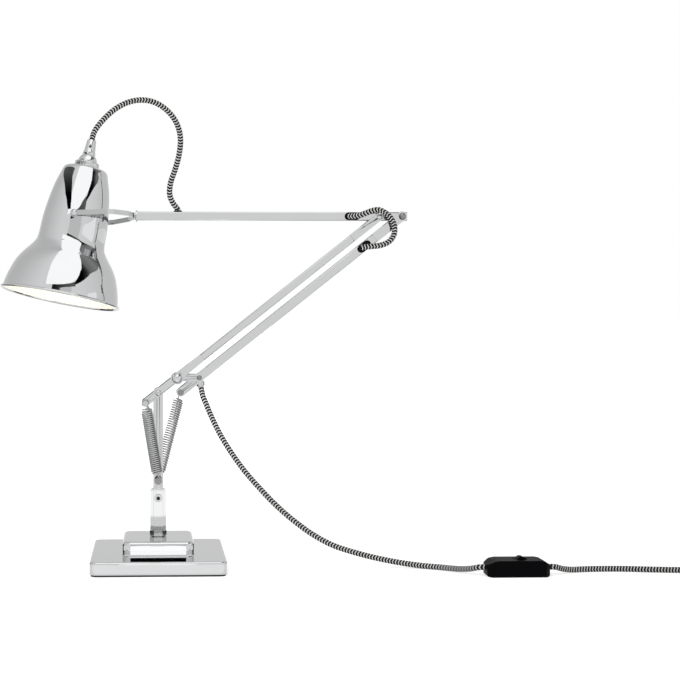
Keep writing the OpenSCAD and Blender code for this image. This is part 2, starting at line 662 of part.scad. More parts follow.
module shade_shell() color("gainsboro") in_shade() rotate_extrude($fn = 96) polygon(concat(
    [[lip_r, 0], [lip_r, 1], [lip_r - 1.4, 1.8]], shade_curve, [[10.4, shade_top], [10.4, shade_top - shade_t]],
    [for (i = [len(shade_in) - 1:-1:0]) shade_in[i]], [[lip_r - 2.4, 0]]));

// The pads of the pivots stand just off the shade's side.
pad_r = 4.4;
pad_in = lookup(pivot_h - pad_r, [for (q = shade_curve) [q[1], q[0]]]) + 0.12;
module shade_pivots() color("silver") in_shade() for (s = [0, 180]) translate([0, 0, pivot_h]) rotate([0, 0, s]) {
    difference() {
        across([0, 0], -yoke_in + seat / 2, 2 - pad_in, pad_r);
        cylinder(r = pad_in, h = 3 * pad_r, center = true);
    }
    across([0, 0], -yoke_in - yoke_t - 0.15, -yoke_in + seat, lever_r);
    translate([0, -yoke_in - yoke_t - 0.15, 0]) dome(3.8, 2.6);
}

module shade_ring() color("silver") in_shade() translate([0, 0, shade_top + 0.05]) difference() {
    union() {
        rotate_extrude() polygon([[0, 0], [13.2, 0], [14, 0.8], [14, ring_h - 1], [13, ring_h], [0, ring_h]]);
        for (i = [0:23]) rotate([0, 0, 15 * i]) translate([13.7, 0, 1.2])
            cylinder(r = 0.8, h = ring_h - 2.6, $fn = 16);
    }
    translate([0, 0, -1]) cylinder(r = 9.9 + play, h = ring_h + 2);
}

cap_z = shade_top + 0.05 + ring_h + 0.05;
cap_r = 10.8;
module shade_cap() color("silver") in_shade() translate([0, 0, cap_z]) difference() {
    rotate_extrude() intersection() {
        circle(cap_r);
        square([cap_r, cap_h]);
    }
    translate([0, 0, -1]) cylinder(r = cord_r + 1, h = cap_h + 2);
}

grip_z = cap_z + cap_h + 0.05;
module cord_grip() color("silver") in_shade() translate([0, 0, grip_z]) difference() {
    rotate_extrude() polygon([[cord_r + 0.1, 0], [7.2, 0], [7.2, 3.4], [6.6, 3.8], [5.1, grip_h + 3.2],
        [cord_r + 0.1, grip_h + 3.2]]);
    translate([0, 0, 9.5]) rotate([90, 0, 0]) translate([0, 0, cord_r - 1]) cylinder(r = 1.6, h = 6);
}

module grub_screw() color("black") in_shade() translate([0, 0, grip_z + 9.5]) rotate([90, 0, 0])
    translate([0, 0, cord_r + 0.4]) cylinder(r = 1.55, h = 1.6);

holder_h = 46;
holder_z = shade_top - holder_h;
neck_r = 13.4;
module lampholder() color("white") in_shade() difference() {
    union() {
        translate([0, 0, holder_z]) cylinder(r = 17, h = holder_h - shade_t - 9);
        translate([0, 0, shade_top - shade_t - 10]) cylinder(r = 14, h = 8.6);
        translate([0, 0, shade_top - shade_t - 5]) cylinder(r = 9.9, h = ring_h + 6);
    }
    translate([0, 0, holder_z - 1]) cylinder(r = neck_r + 0.3, h = 25);
    translate([0, 0, holder_z]) cylinder(r = cord_r + 0.2, h = holder_h + ring_h + 10);
}

bulb_r = 27.5;
bulb_l = 100;
module bulb() color("ivory") in_shade() translate([0, 0, holder_z + 22]) rotate_extrude() intersection() {
    union() {
        translate([0, bulb_r - bulb_l]) circle(bulb_r);
        polygon([[0, -66], [bulb_r - 1.3, -64], [22.5, -54], [17.5, -42], [neck_r + 1, -31],
            [neck_r, -23], [neck_r, 0], [0, 0]]);
    }
    translate([0, -bulb_l]) square([bulb_r + 1, bulb_l]);
}

// Springs.
module front_spring_near() color("silver") spring(anchor, spring_1, -spring_y);
module front_spring_far() color("silver") spring(anchor, spring_1, spring_y);
module rear_spring() color("silver") spring(anchor, spring_2, 0);
module rear_spring_bush() color("gray") difference() {
    across(spring_2, -2.5, 2.5, anchor_r);
    across(spring_2, -3, 3, lever_r + play);
}

// Cords.
module elbow_cord() color("dimgray") sweep(elbow_route, cord_r, 8);
module shade_cord() color("dimgray") sweep(shade_route, cord_r, 8);
module power_cord() color("dimgray") sweep(power_route, cord_r, 8);
module lead_cord() color("dimgray") sweep(lead_route, cord_r, 8);
module plug_cord() color("dimgray") sweep(plug_route, cord_r, 8, [0, 0, 1]);

// The coil winds in on the lower layer, climbs in half a turn and winds out on the upper one.
function coil_point(a) = let(
    a_in = 360 * coil_turns_in,
    a_up = a_in + 180,
    r_in = coil_r - coil_step * coil_turns_in,
    climb = min(1, max(0, (a - a_in) / 180)),
    r = a < a_in ? coil_r - coil_step * a / 360 : a < a_up ? r_in - coil_dip * sin(180 * climb)
        : r_in + coil_step * (a - a_up) / 360)
    [coil_c[0] + r * sin(a), coil_c[1] - r * cos(a), coil_z + coil_step * (3 - 2 * climb) * climb * climb];
coil_end = 360 * (coil_turns_in + 0.5 + coil_turns_out);
coil_path = let(turn = [for (a = [0:15:coil_end]) coil_point(a)], n = len(turn))
    concat([turn[0] - [cord_d, 0, 0]], turn, [turn[n - 1] + [0, cord_d, 0]]);
module cord_coil() color("dimgray") {
    echo(coil_gap = self_gap(coil_path, cord_d, 12));
    sweep(coil_path, cord_r, 6);
}

// Switch on the cord, in two halves with a rocker.
module switch_outline(h0, h1) translate([switch_x, switch_y, 0]) intersection() {
    l = switch_l / 2;
    w = switch_w / 2;
    rotate([90, 0, 0]) linear_extrude(switch_w, center = true)
        polygon([[-l, 1.5], [1.5 - l, 0], [l - 1.5, 0], [l, 1.5], [l, switch_h - 5], [l - 7, switch_h - 1],
            [l - 12, switch_h], [12 - l, switch_h], [7 - l, switch_h - 1], [-l, switch_h - 5]]);
    linear_extrude(switch_h) polygon([[-l, -w + 5], [5 - l, -w], [l - 5, -w], [l, -w + 5], [l, w - 5],
        [l - 5, w], [5 - l, w], [-l, w - 5]]);
    translate([-l, -w, h0]) cube([switch_l, switch_w, h1 - h0]);
}

rocker_r = 7.2;
rocker_z = switch_h - 4;
module switch_base() color("black") switch_outline(0, switch_h / 2 - 0.1);
module switch_cover() color("black") difference() {
    switch_outline(switch_h / 2, switch_h);
    translate([switch_x + 4 - rocker_r - 0.2, switch_y - 5.2, 0])
        cube([2 * rocker_r + 0.4, 10.4, switch_h]);
}
module switch_rocker() color("black") translate([switch_x + 4, switch_y, rocker_z]) intersection() {
    rotate([90, 0, 0]) cylinder(r = rocker_r, h = 10, center = true);
    rotate([90, 0, 0]) linear_extrude(12, center = true)
        polygon([[-5.6, -4], [5.6, -4], [7.2, 3], [1.5, 7.2], [-1.5, 7.2], [-7.2, 3]]);
}

// Plug.
module plug_body() color("black") translate([plug_x, plug_y, plug_z]) {
    rotate([-90, 0, 0]) cylinder(r = 5.4, h = 7);
    translate([0, 0, -plug_z]) linear_extrude(2 * plug_z)
        polygon([[-6, 6], [6, 6], [11, 14], [17.5, 20], [17.5, plug_l], [-17.5, plug_l], [-17.5, 20], [-11, 14]]);
}
module plug_pins() color("silver") for (x = [-9.5, 9.5]) translate([plug_x + x, plug_y + plug_l, plug_z])
    rotate([-90, 0, 0]) {
        cylinder(r = 2, h = 18);
        translate([0, 0, 18]) cylinder(r1 = 2, r2 = 1.2, h = 1);
    }

foot_pad();
base_cover();
base_weight();
base_socket();
spindle();
hex_collar();
column_block();
side_plate_near();
side_plate_far();
shoulder_spacer();
column_screw();
anchor_pin();
shoulder_bolt();
shoulder_fork();
lower_tube();
spring_pins();
knob_bolt();
link_spacers();
elbow_cheeks();
elbow_bolt();
link_plates();
friction_knob();
rear_tube();
rear_lever();
lever_bolt();
link_screws();
rear_cheeks();
rear_bolt();
rear_grommet();
cord_bush();
forearm_tube();
forearm_grommet();
top_grommet();
end_collar();
yoke();
yoke_screws();
shade_shell();
shade_pivots();
shade_ring();
shade_cap();
cord_grip();
grub_screw();
lampholder();
bulb();
front_spring_near();
front_spring_far();
rear_spring_bush();
rear_spring();
elbow_cord();
shade_cord();
power_cord();
lead_cord();
cord_coil();
plug_cord();
switch_base();
switch_cover();
switch_rocker();
plug_body();
plug_pins();
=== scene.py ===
import json
import math

import bpy
from bpy.props import FloatProperty, FloatVectorProperty, IntProperty, PointerProperty
from bpy.types import Operator, Panel, PropertyGroup
from mathutils import Matrix, Vector


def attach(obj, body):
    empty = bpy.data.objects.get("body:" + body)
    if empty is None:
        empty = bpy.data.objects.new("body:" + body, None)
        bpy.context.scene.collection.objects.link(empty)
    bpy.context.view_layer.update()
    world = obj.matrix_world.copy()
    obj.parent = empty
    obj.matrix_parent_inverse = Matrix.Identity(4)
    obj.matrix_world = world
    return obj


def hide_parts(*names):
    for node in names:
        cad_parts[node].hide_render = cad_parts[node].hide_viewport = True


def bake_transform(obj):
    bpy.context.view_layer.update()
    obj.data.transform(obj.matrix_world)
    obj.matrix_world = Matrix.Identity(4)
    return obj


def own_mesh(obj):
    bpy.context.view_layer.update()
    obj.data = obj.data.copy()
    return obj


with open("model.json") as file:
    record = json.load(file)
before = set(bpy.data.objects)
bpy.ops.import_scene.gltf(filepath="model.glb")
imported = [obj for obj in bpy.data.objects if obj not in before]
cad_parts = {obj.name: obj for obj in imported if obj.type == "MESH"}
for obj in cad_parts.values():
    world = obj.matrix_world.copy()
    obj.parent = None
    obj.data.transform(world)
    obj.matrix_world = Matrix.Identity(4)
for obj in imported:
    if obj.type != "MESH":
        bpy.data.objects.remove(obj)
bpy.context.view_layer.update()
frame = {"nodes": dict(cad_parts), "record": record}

bl_info = {
    "name": "Spring Balanced Desk Lamp",
    "version": (1, 0, 0),
    "blender": (4, 5, 0),
    "location": "View3D > Sidebar > Desk Lamp",
    "description": "Dresses the packed desk lamp with its metal, cords, springs and studio",
    "category": "Object",
}

MM = 0.001

# Places of the linkage, in millimetres, as the construction has them.
ARM_ANGLE = math.radians(38.4)
ALONG = Vector((math.cos(ARM_ANGLE), 0, math.sin(ARM_ANGLE)))
LINK_AT = 27
LINK_TO_ELBOW = 296
LINK_SPAN = Vector((25.5, 0, 0))
SPRING_LEVER = 18.6
FOREARM_LENGTH = 277
YOKE_REACH = 69.6
SHOULDER = Vector((0, 0, 196))
ANCHOR = Vector((0, 0, 97))
LINK_1 = SHOULDER + LINK_AT * ALONG
LINK_2 = LINK_1 + LINK_SPAN
ELBOW_1 = LINK_1 + LINK_TO_ELBOW * ALONG
SPRING_1 = SHOULDER - SPRING_LEVER * ALONG
SPRING_2 = SHOULDER + LINK_SPAN
FOREARM_END = ELBOW_1 - Vector((FOREARM_LENGTH, 0, 0))
ROLL = math.radians(-6)
DROOP = math.radians(-2.1)
TILT = math.radians(11)
YOKE_TURN = Matrix.Rotation(ROLL, 3, "X") @ Matrix.Rotation(DROOP, 3, "Y")
SHADE_PIVOT = FOREARM_END + YOKE_TURN @ Vector((-YOKE_REACH, 0, 0))
PIVOT_HEIGHT = 94
SHADE_TOP = 152.8
FORK_OUT = 12.3
SEAT_PLAY = 0.3
BASE_TOP = 32.0

# The cords: how far apart their points are, where they are cut, and their weave.
CORD_STEP = 1.0
COIL_STEP = 1.25
CORD_SIDES = 24
SHADE_CORD_CUT = 118
MAINS_CORD_CUTS = (92, 200, 350)
ZIGZAGS = 6
ZIGZAG_DEPTH = 0.42

# The camera, in metres and millimetres of lens, fitted to the photo.
SENSOR_WIDTH = 36
LENS = 73.88
CAMERA_SHIFT = (0.207, -0.060)
CAMERA_PLACE = (-0.006, -1.592, 0.302)
CAMERA_YAW = math.radians(-1.9)

# The springs, in millimetres.
FRONT_SPRING_WIDER = 1.06
FRONT_SPRING_OUT = 16.6
SPRING_TAIL = 8.0
HOOK_BORE = 2.5
CURL_STEPS = 20
WIRE_SIDES = 10

# Cord routes, in millimetres, as the construction has them. The elbow loop runs on into its grommet.
ELBOW_ROUTE = [(217.5, -4.8, 396.7), (221, -6.9, 396.7), (225.5, -9.3, 397), (231, -11.6, 398.2),
    (237, -13.2, 400.4), (243, -14, 402.6), (250, -14.4, 403.5), (257.4, -14.4, 400.5), (263.5, -14.2, 395),
    (267.4, -14, 388), (268.6, -13.8, 380.5), (267.2, -13.6, 373.8), (262.8, -13.4, 368),
    (256.4, -12.9, 364.4), (250, -12, 362.8), (245, -11, 362.3), (240.6, -9.7, 361.9),
    (236.6, -8, 361.6), (232.4, -5.9, 361)]
SHADE_ROUTE = [(22.4, 0, 399), (22.4, 0, 403.8), (20.4, 0.3, 407), (16.7, 0.6, 412), (13.2, 1, 421),
    (14, 1.6, 434), (19.4, 2.2, 450.5), (24, 2.8, 468), (25.4, 3.4, 485.5), (23, 3.9, 498.5),
    (16.8, 4.5, 510.5), (6.6, 5.2, 521), (-5.7, 5.9, 527.8), (-20, 6.6, 530), (-35.5, 7.3, 527),
    (-50.8, 8, 518.5), (-63.2, 8.6, 507), (-71.2, 9.3, 497), (-74.2, 9.8, 491), (-75.8, 9.3, 484.2)]
POWER_ROUTE = [(48.6, 0, 202.9), (49.7, 0, 197.2), (50.9, -0.2, 191.5), (54, -0.4, 184), (59.8, -0.5, 170),
    (70.5, -0.8, 148), (83.3, -1, 127), (98.5, -2, 106), (115.5, -3.2, 86.5), (135.5, -5.6, 66),
    (156, -8.4, 48.5), (177, -12, 33.8), (198, -15.8, 23), (221, -20, 15.8), (246, -25, 10),
    (270, -30.5, 6), (294, -37.5, 3.6), (315, -47, 3.3), (332, -60, 4), (343, -70.2, 6.2),
    (349, -75.6, 8.4), (352, -77, 9), (357.1, -77, 9)]
LEAD_ROUTE = [(426.4, -77, 9), (431, -77, 9), (436, -75, 8.2), (444.5, -70.5, 5.4), (456, -65.5, 3.5),
    (474, -62, 3.3), (495, -61, 3.3), (516, -62, 3.3), (540, -66, 3.3), (565, -69.5, 3.3), (590, -71.5, 3.3),
    (615, -71, 3.3), (636, -68.4, 3.3), (644, -67.6, 3.3), (651.4, -67.6, 3.3)]
PLUG_ROUTE = [(700.8, -16.5, 10.4), (700.8, -10, 10.4), (700.8, -3, 10.4), (700.8, 5, 9.4),
    (700.8, 11, 7.4), (700.8, 14.5, 7), (700.8, 20.3, 7)]

# Half section of the shade's outside: radius and height above the rim, in millimetres.
SHADE_CURVE = [(65.8, 3.2), (64.8, 10), (63, 18), (60.6, 26), (57.6, 34), (53.8, 41), (49.7, 47),
    (46.2, 51.4), (43.5, 55), (40.8, 59), (39.2, 62), (38.4, 65.5), (37.9, 70), (37.7, 77), (37.5, 86),
    (36.7, 96), (35.3, 107), (33.8, 117), (32.1, 126), (30.4, 133), (28.6, 139), (27.2, 143.4),
    (26.1, 147.2), (25.1, 149.8), (23.5, 151.5), (21, 152.4), (16, 152.6)]


class LampSizes(PropertyGroup):
    """Sizes of the pieces that the scene makes itself"""

    cord_diameter: FloatProperty(
        name="Cord Diameter", description="Diameter of the woven cord", default=0.0065, unit="LENGTH")
    weave_pitch: FloatProperty(
        name="Weave Pitch", description="Length of one dark and one light band of the weave",
        default=0.0033, unit="LENGTH")
    spring_diameter: FloatProperty(
        name="Spring Diameter", description="Outer diameter of a spring", default=0.0132, unit="LENGTH")
    spring_wire: FloatProperty(
        name="Spring Wire", description="Diameter of the spring wire", default=0.0017, unit="LENGTH")
    spring_curls: IntProperty(
        name="Spring Curls", description="Curls in each spring", default=32, min=8, max=60)
    shade_wall: FloatProperty(
        name="Shade Wall", description="Thickness of the spun shade", default=0.0012, unit="LENGTH")
    edge_round: FloatProperty(
        name="Edge Round", description="Radius on the edges of the metal pieces",
        default=0.0003, unit="LENGTH")
    knurl_depth: FloatProperty(
        name="Knurl Depth", description="Depth of the knurl on the ring and the knob",
        default=0.0004, unit="LENGTH")


class LampColours(PropertyGroup):
    """Colours of the lamp's finishes"""

    chrome: FloatVectorProperty(
        name="Chrome", description="Colour of the polished chrome", subtype="COLOR",
        default=(0.6, 0.605, 0.61), min=0, max=1)
    enamel: FloatVectorProperty(
        name="Enamel", description="Colour inside the shade", subtype="COLOR",
        default=(0.93, 0.89, 0.79), min=0, max=1)
    thread_dark: FloatVectorProperty(
        name="Dark Thread", description="Dark thread of the woven cord", subtype="COLOR",
        default=(0.006, 0.006, 0.007), min=0, max=1)
    thread_light: FloatVectorProperty(
        name="Light Thread", description="Light thread of the woven cord", subtype="COLOR",
        default=(0.58, 0.58, 0.56), min=0, max=1)
    plastic: FloatVectorProperty(
        name="Plastic", description="Colour of the switch and the plug", subtype="COLOR",
        default=(0.0015, 0.0015, 0.002), min=0, max=1)


# Materials, all from nodes. FINE is the height of their finest bumps, in metres.
FINE = 0.0002


def fresh_material(name):
    material = bpy.data.materials.new(name)
    material.use_nodes = True
    tree = material.node_tree
    shader = tree.nodes["Principled BSDF"]
    return material, tree, shader


def add_node(tree, kind, inputs=(), **settings):
    node = tree.nodes.new(kind)
    for key, value in settings.items():
        setattr(node, key, value)
    for socket, value in dict(inputs).items():
        if isinstance(value, bpy.types.NodeSocket):
            tree.links.new(value, node.inputs[socket])
        else:
            node.inputs[socket].default_value = value
    return node


def math_node(tree, operation, first, second=0.0, third=0.0):
    values = {0: first, 1: second, 2: third}
    return add_node(tree, "ShaderNodeMath", values, operation=operation).outputs[0]


def spread(tree, value, low, high):
    """Maps a value from 0 to 1 on to low to high."""
    return add_node(tree, "ShaderNodeMapRange", {"Value": value, "To Min": low, "To Max": high}).outputs[0]


def shade_of(colour, factor):
    return tuple(min(1, c * factor) for c in colour[:3]) + (1,)


def two_tone(tree, factor, first, second):
    colours = {0: factor, 6: first, 7: second}
    return add_node(tree, "ShaderNodeMix", colours, data_type="RGBA").outputs[2]


def object_noise(tree, scale, detail=3):
    place = add_node(tree, "ShaderNodeTexCoord").outputs["Object"]
    noise = add_node(tree, "ShaderNodeTexNoise", {"Vector": place, "Scale": scale, "Detail": detail})
    return noise.outputs["Fac"]


def surface_bump(tree, shader, height, strength, distance):
    node = add_node(tree, "ShaderNodeBump", {"Height": height, "Strength": strength, "Distance": distance})
    tree.links.new(node.outputs[0], shader.inputs["Normal"])


def paint(tree, shader, colour, roughness):
    tree.links.new(colour, shader.inputs["Base Color"])
    tree.links.new(roughness, shader.inputs["Roughness"])


def metal(name, colour, rough_low, rough_high, grain, ripple):
    """A plated or bare metal with faint haze, fine marks and a nearly flat ripple."""
    material, tree, shader = fresh_material(name)
    shader.inputs["Metallic"].default_value = 1
    haze = object_noise(tree, 38, 4)
    marks = object_noise(tree, grain, 5)
    paint(tree, shader, two_tone(tree, haze, shade_of(colour, 0.965), shade_of(colour, 1.02)),
          spread(tree, marks, rough_low, rough_high))
    surface_bump(tree, shader, marks, ripple, FINE)
    return material


def moulded(name, colour, rough_low, rough_high, grain=1400, depth=0.25, shine=0.5):
    """A moulded plastic or rubber with a fine pebbled grain."""
    material, tree, shader = fresh_material(name)
    wear = object_noise(tree, 60, 4)
    pebble = object_noise(tree, grain, 2)
    paint(tree, shader, two_tone(tree, wear, shade_of(colour, 0.8), shade_of(colour, 1.25)),
          spread(tree, pebble, rough_low, rough_high))
    shader.inputs["Specular IOR Level"].default_value = shine
    surface_bump(tree, shader, pebble, depth, FINE)
    return material


def enamelled(name, colour):
    """Sprayed enamel with a slight orange peel and a warm, uneven tone."""
    material, tree, shader = fresh_material(name)
    tone = object_noise(tree, 22, 3)
    peel = object_noise(tree, 620, 2)
    paint(tree, shader, two_tone(tree, tone, shade_of(colour, 0.97), shade_of(colour, 1.02)),
          spread(tree, peel, 0.5, 0.62))
    surface_bump(tree, shader, peel, 0.02, FINE)
    return material


def woven(name, dark, light):
    """The cord's weave: zigzag bands across it, and the diagonal threads that make them."""
    material, tree, shader = fresh_material(name)
    shader.inputs["Sheen Weight"].default_value = 0.08
    shader.inputs["Sheen Roughness"].default_value = 0.5
    shader.inputs["Specular IOR Level"].default_value = 0.12
    line = add_node(tree, "ShaderNodeSeparateXYZ", {
        "Vector": add_node(tree, "ShaderNodeUVMap", uv_map="Weave").outputs[0]})
    along, around = line.outputs[0], line.outputs[1]
    zigzag = math_node(tree, "PINGPONG", math_node(tree, "MULTIPLY", around, ZIGZAGS), 1)
    band = math_node(tree, "FRACT", math_node(tree, "MULTIPLY_ADD", zigzag, ZIGZAG_DEPTH, along))
    fuzz = object_noise(tree, 2600, 3)
    edge = math_node(tree, "MULTIPLY_ADD", math_node(tree, "SUBTRACT", fuzz, 0.5), 0.16, band)
    is_dark = add_node(tree, "ShaderNodeMapRange", {
        "Value": math_node(tree, "ABSOLUTE", math_node(tree, "SUBTRACT", edge, 0.5)),
        "From Min": 0.14, "From Max": 0.185, "To Min": 0, "To Max": 1}).outputs[0]
    dark_thread = two_tone(tree, fuzz, shade_of(dark, 0.7), shade_of(dark, 1.9))
    light_thread = two_tone(tree, fuzz, shade_of(light, 0.86), shade_of(light, 1.05))
    paint(tree, shader, two_tone(tree, is_dark, light_thread, dark_thread), spread(tree, fuzz, 0.72, 0.9))
    threads = []
    for side in (1, -1):
        phase = math_node(tree, "MULTIPLY_ADD", around, 24 * side, math_node(tree, "MULTIPLY", along, 3))
        threads.append(math_node(tree, "SINE", math_node(tree, "MULTIPLY", phase, 2 * math.pi)))
    height = math_node(tree, "MAXIMUM", threads[0], threads[1])
    surface_bump(tree, shader, math_node(tree, "MULTIPLY_ADD", fuzz, 0.6, height), 0.55, 0.00012)
    return material


def opal_glass(name):
    """The bulb's white glass, slightly cloudy."""
    material, tree, shader = fresh_material(name)
    cloud = object_noise(tree, 30, 2)
    shader.inputs["Coat Weight"].default_value = 0.6
    shader.inputs["Subsurface Weight"].default_value = 0.25
    shader.inputs["Subsurface Scale"].default_value = 0.004
    paint(tree, shader, two_tone(tree, cloud, (0.88, 0.87, 0.84, 1), (0.95, 0.945, 0.92, 1)),
          spread(tree, cloud, 0.14, 0.22))
    surface_bump(tree, shader, cloud, 0.02, 0.0004)
    return material


made_finishes = {}


def finish_of(name):
    """The named material, made once from the panel's colours."""
    if name in made_finishes:
        return made_finishes[name]
    c = bpy.context.scene.lamp_colours
    make = {
        "Chrome": lambda: metal("Chrome", c.chrome, 0.02, 0.05, 900, 0.012),
        "Bolt Steel": lambda: metal("Bolt Steel", shade_of(c.chrome, 0.45), 0.18, 0.3, 1500, 0.06),
        "Satin Chrome": lambda: metal("Satin Chrome", shade_of(c.chrome, 0.92), 0.16, 0.26, 1500, 0.08),
        "Spring Steel": lambda: metal("Spring Steel", shade_of(c.chrome, 0.78), 0.08, 0.16, 1800, 0.05),
        "Cast Iron": lambda: metal("Cast Iron", (0.12, 0.12, 0.125), 0.5, 0.75, 500, 0.5),
        "Bronze": lambda: metal("Bronze", (0.5, 0.36, 0.17), 0.25, 0.4, 1500, 0.15),
        "Enamel": lambda: enamelled("Enamel", c.enamel),
        "White Plastic": lambda: moulded("White Plastic", (0.82, 0.81, 0.77), 0.28, 0.38),
        "Black Plastic": lambda: moulded("Black Plastic", c.plastic, 0.34, 0.48, 1400, 0.15, 0.03),
        "Rubber": lambda: moulded("Rubber", (0.012, 0.012, 0.012), 0.7, 0.9, 900, 0.4, 0.2),
        "Woven Cord": lambda: woven("Woven Cord", c.thread_dark, c.thread_light),
        "Opal Glass": lambda: opal_glass("Opal Glass"),
    }
    made_finishes[name] = make[name]()
    return made_finishes[name]


# Meshes. Points are in millimetres until mesh_piece writes them in metres.

def mesh_piece(name, points, faces, finishes, matrix=None, sharp=32, face_finish=None):
    mesh = bpy.data.meshes.new(name)
    place = matrix or Matrix.Identity(4)
    mesh.from_pydata([(place @ Vector(p)) * MM for p in points], [], faces)
    mesh.validate()
    for finish in finishes:
        mesh.materials.append(finish_of(finish))
    if face_finish:
        mesh.polygons.foreach_set("material_index", face_finish)
    mesh.shade_smooth()
    mesh.set_sharp_from_angle(angle=math.radians(sharp))
    piece = bpy.data.objects.new(name, mesh)
    bpy.context.scene.collection.objects.link(piece)
    return piece


def place_on(piece, body, slot, *nodes):
    """The piece rides on its body and stands for the CAD nodes named; its slot is not used."""
    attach(piece, body)
    if nodes:
        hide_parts(*nodes)
    return piece


def turned(profile, steps, ripple=None):
    """Points and faces of a closed section turned about Z; ripple(angle, i) changes the radius."""
    points, faces = [], []
    n = len(profile)
    for j in range(steps):
        a = 2 * math.pi * j / steps
        for i, (r, z) in enumerate(profile):
            r = max(0.0, r + (ripple(a, i) if ripple else 0))
            points.append((r * math.cos(a), r * math.sin(a), z))
    for j in range(steps):
        for i in range(n):
            a, b = j * n + i, j * n + (i + 1) % n
            c, d = ((j + 1) % steps) * n + (i + 1) % n, ((j + 1) % steps) * n + i
            faces.append((a, d, c, b))
    return points, faces


def knurl(depth, count, first, last):
    """A ripple for turned: count grooves over the rows from first to last."""
    def ripple(angle, i):
        return -depth * (0.5 + 0.5 * math.cos(count * angle)) if first <= i <= last else 0
    return ripple


def smooth_line(points, step, between=24):
    """A smooth curve through the points, as points about step apart."""
    p = [Vector(q) for q in points]
    p = [2 * p[0] - p[1]] + p + [2 * p[-1] - p[-2]]
    dense = []
    for i in range(1, len(p) - 2):
        t = [0.0]
        for k in range(3):
            t.append(t[-1] + max(1e-6, (p[i + k] - p[i + k - 1]).length) ** 0.5)
        for s in range(between):
            u = t[1] + (t[2] - t[1]) * s / between
            a1 = p[i - 1].lerp(p[i], (u - t[0]) / (t[1] - t[0]))
            a2 = p[i].lerp(p[i + 1], (u - t[1]) / (t[2] - t[1]))
            a3 = p[i + 1].lerp(p[i + 2], (u - t[2]) / (t[3] - t[2]))
            b1 = a1.lerp(a2, (u - t[0]) / (t[2] - t[0]))
            b2 = a2.lerp(a3, (u - t[1]) / (t[3] - t[1]))
            dense.append(b1.lerp(b2, (u - t[1]) / (t[2] - t[1])))
    dense.append(p[-2])
    return evenly(dense, step)


def evenly(line, step):
    """The same line as points step apart."""
    total = [0.0]
    for a, b in zip(line, line[1:]):
        total.append(total[-1] + (b - a).length)
    count = max(2, round(total[-1] / step))
    out, k = [], 0
    for i in range(count + 1):
        at = total[-1] * i / count
        while k < len(total) - 2 and total[k + 1] < at:
            k += 1
        span = total[k + 1] - total[k]
        out.append(line[k].lerp(line[k + 1], (at - total[k]) / span if span else 0))
    return out


def path_length(line):
    return sum((b - a).length for a, b in zip(line, line[1:]))


def tube(line, radius, sides, relief=None, start_at=0.0):
    """Points, faces and weave coordinates of a tube on a line; relief(along, turn) adds to the radius."""
    n = len(line)
    tangents = [(line[min(i + 1, n - 1)] - line[max(i - 1, 0)]).normalized() for i in range(n)]
    up = Vector((0, 1, 0)) if abs(tangents[0].y) < 0.9 else Vector((0, 0, 1))
    side = (up - up.dot(tangents[0]) * tangents[0]).normalized()
    points, faces, marks = [], [], []
    along = start_at
    for i in range(n):
        if i:
            along += (line[i] - line[i - 1]).length
            side = (side - side.dot(tangents[i]) * tangents[i]).normalized()
        other = tangents[i].cross(side)
        for k in range(sides):
            a = 2 * math.pi * k / sides
            r = radius + (relief(along, k / sides) if relief else 0)
            points.append(line[i] + r * (math.cos(a) * side + math.sin(a) * other))
            marks.append((along, k / sides))
    for i in range(n - 1):
        for k in range(sides):
            a, b = i * sides + k, i * sides + (k + 1) % sides
            faces.append((a, a + sides, b + sides, b))
    faces.append(tuple(range(sides)))
    faces.append(tuple((n - 1) * sides + k for k in reversed(range(sides))))
    return points, faces, marks


def woven_cord(name, line, start_at=0.0):
    """A woven cord on a line in millimetres, with slightly raised bands and with weave coordinates."""
    s = bpy.context.scene.lamp_sizes
    pitch = s.weave_pitch / MM
    radius = s.cord_diameter / MM / 2
    raised, sunk = 0.07, 0.05

    def relief(along, turn):
        zigzag = 1 - abs((turn * ZIGZAGS) % 2 - 1)
        return raised * math.cos(4 * math.pi * (along / pitch + ZIGZAG_DEPTH * zigzag)) - sunk

    points, faces, marks = tube(line, radius, CORD_SIDES, relief, start_at)
    cord = mesh_piece(name, points, faces, ["Woven Cord"], sharp=60)
    mesh = cord.data
    uv = mesh.uv_layers.new(name="Weave")
    for face in mesh.polygons:
        low = min(marks[v][1] for v in face.vertices)
        for loop in face.loop_indices:
            along, turn = marks[mesh.loops[loop].vertex_index]
            if len(face.vertices) == 4 and low == 0 and turn > 0.5:
                turn -= 1
            uv.data[loop].uv = (along / pitch, turn)
    return cord


def coil_line():
    """The coil's centreline: in on the lower layer, up in half a turn, out on the upper one."""
    turns_in, turns_out = 2.5, 2.25
    radius, step, low, dip = 44.6, 7.1, 3.3, 2
    centre = Vector((658, -23, 0))
    straight = 6.5
    degrees = 5.0
    inner = radius - step * turns_in
    points = []
    end = 360 * (turns_in + 0.5 + turns_out)
    for i in range(round(end / degrees) + 1):
        a = degrees * i
        climb = min(1, max(0, (a - 360 * turns_in) / 180))
        if a < 360 * turns_in:
            r = radius - step * a / 360
        elif a < 360 * turns_in + 180:
            r = inner - dip * math.sin(math.pi * climb)
        else:
            r = inner + step * (a - 360 * turns_in - 180) / 360
        t = math.radians(a)
        points.append(centre + Vector((r * math.sin(t), -r * math.cos(t),
                                       low + step * (3 - 2 * climb) * climb * climb)))
    return [points[0] - Vector((straight, 0, 0))] + points + [points[-1] + Vector((0, straight, 0))]


def cut_line(line, marks):
    """Pieces of a line between the lengths in marks, sharing their end points."""
    total, pieces, start = 0.0, [], 0
    wanted = list(marks)
    for i in range(1, len(line)):
        total += (line[i] - line[i - 1]).length
        if wanted and total >= wanted[0]:
            wanted.pop(0)
            pieces.append(line[start:i + 1])
            start = i
    pieces.append(line[start:])
    return pieces


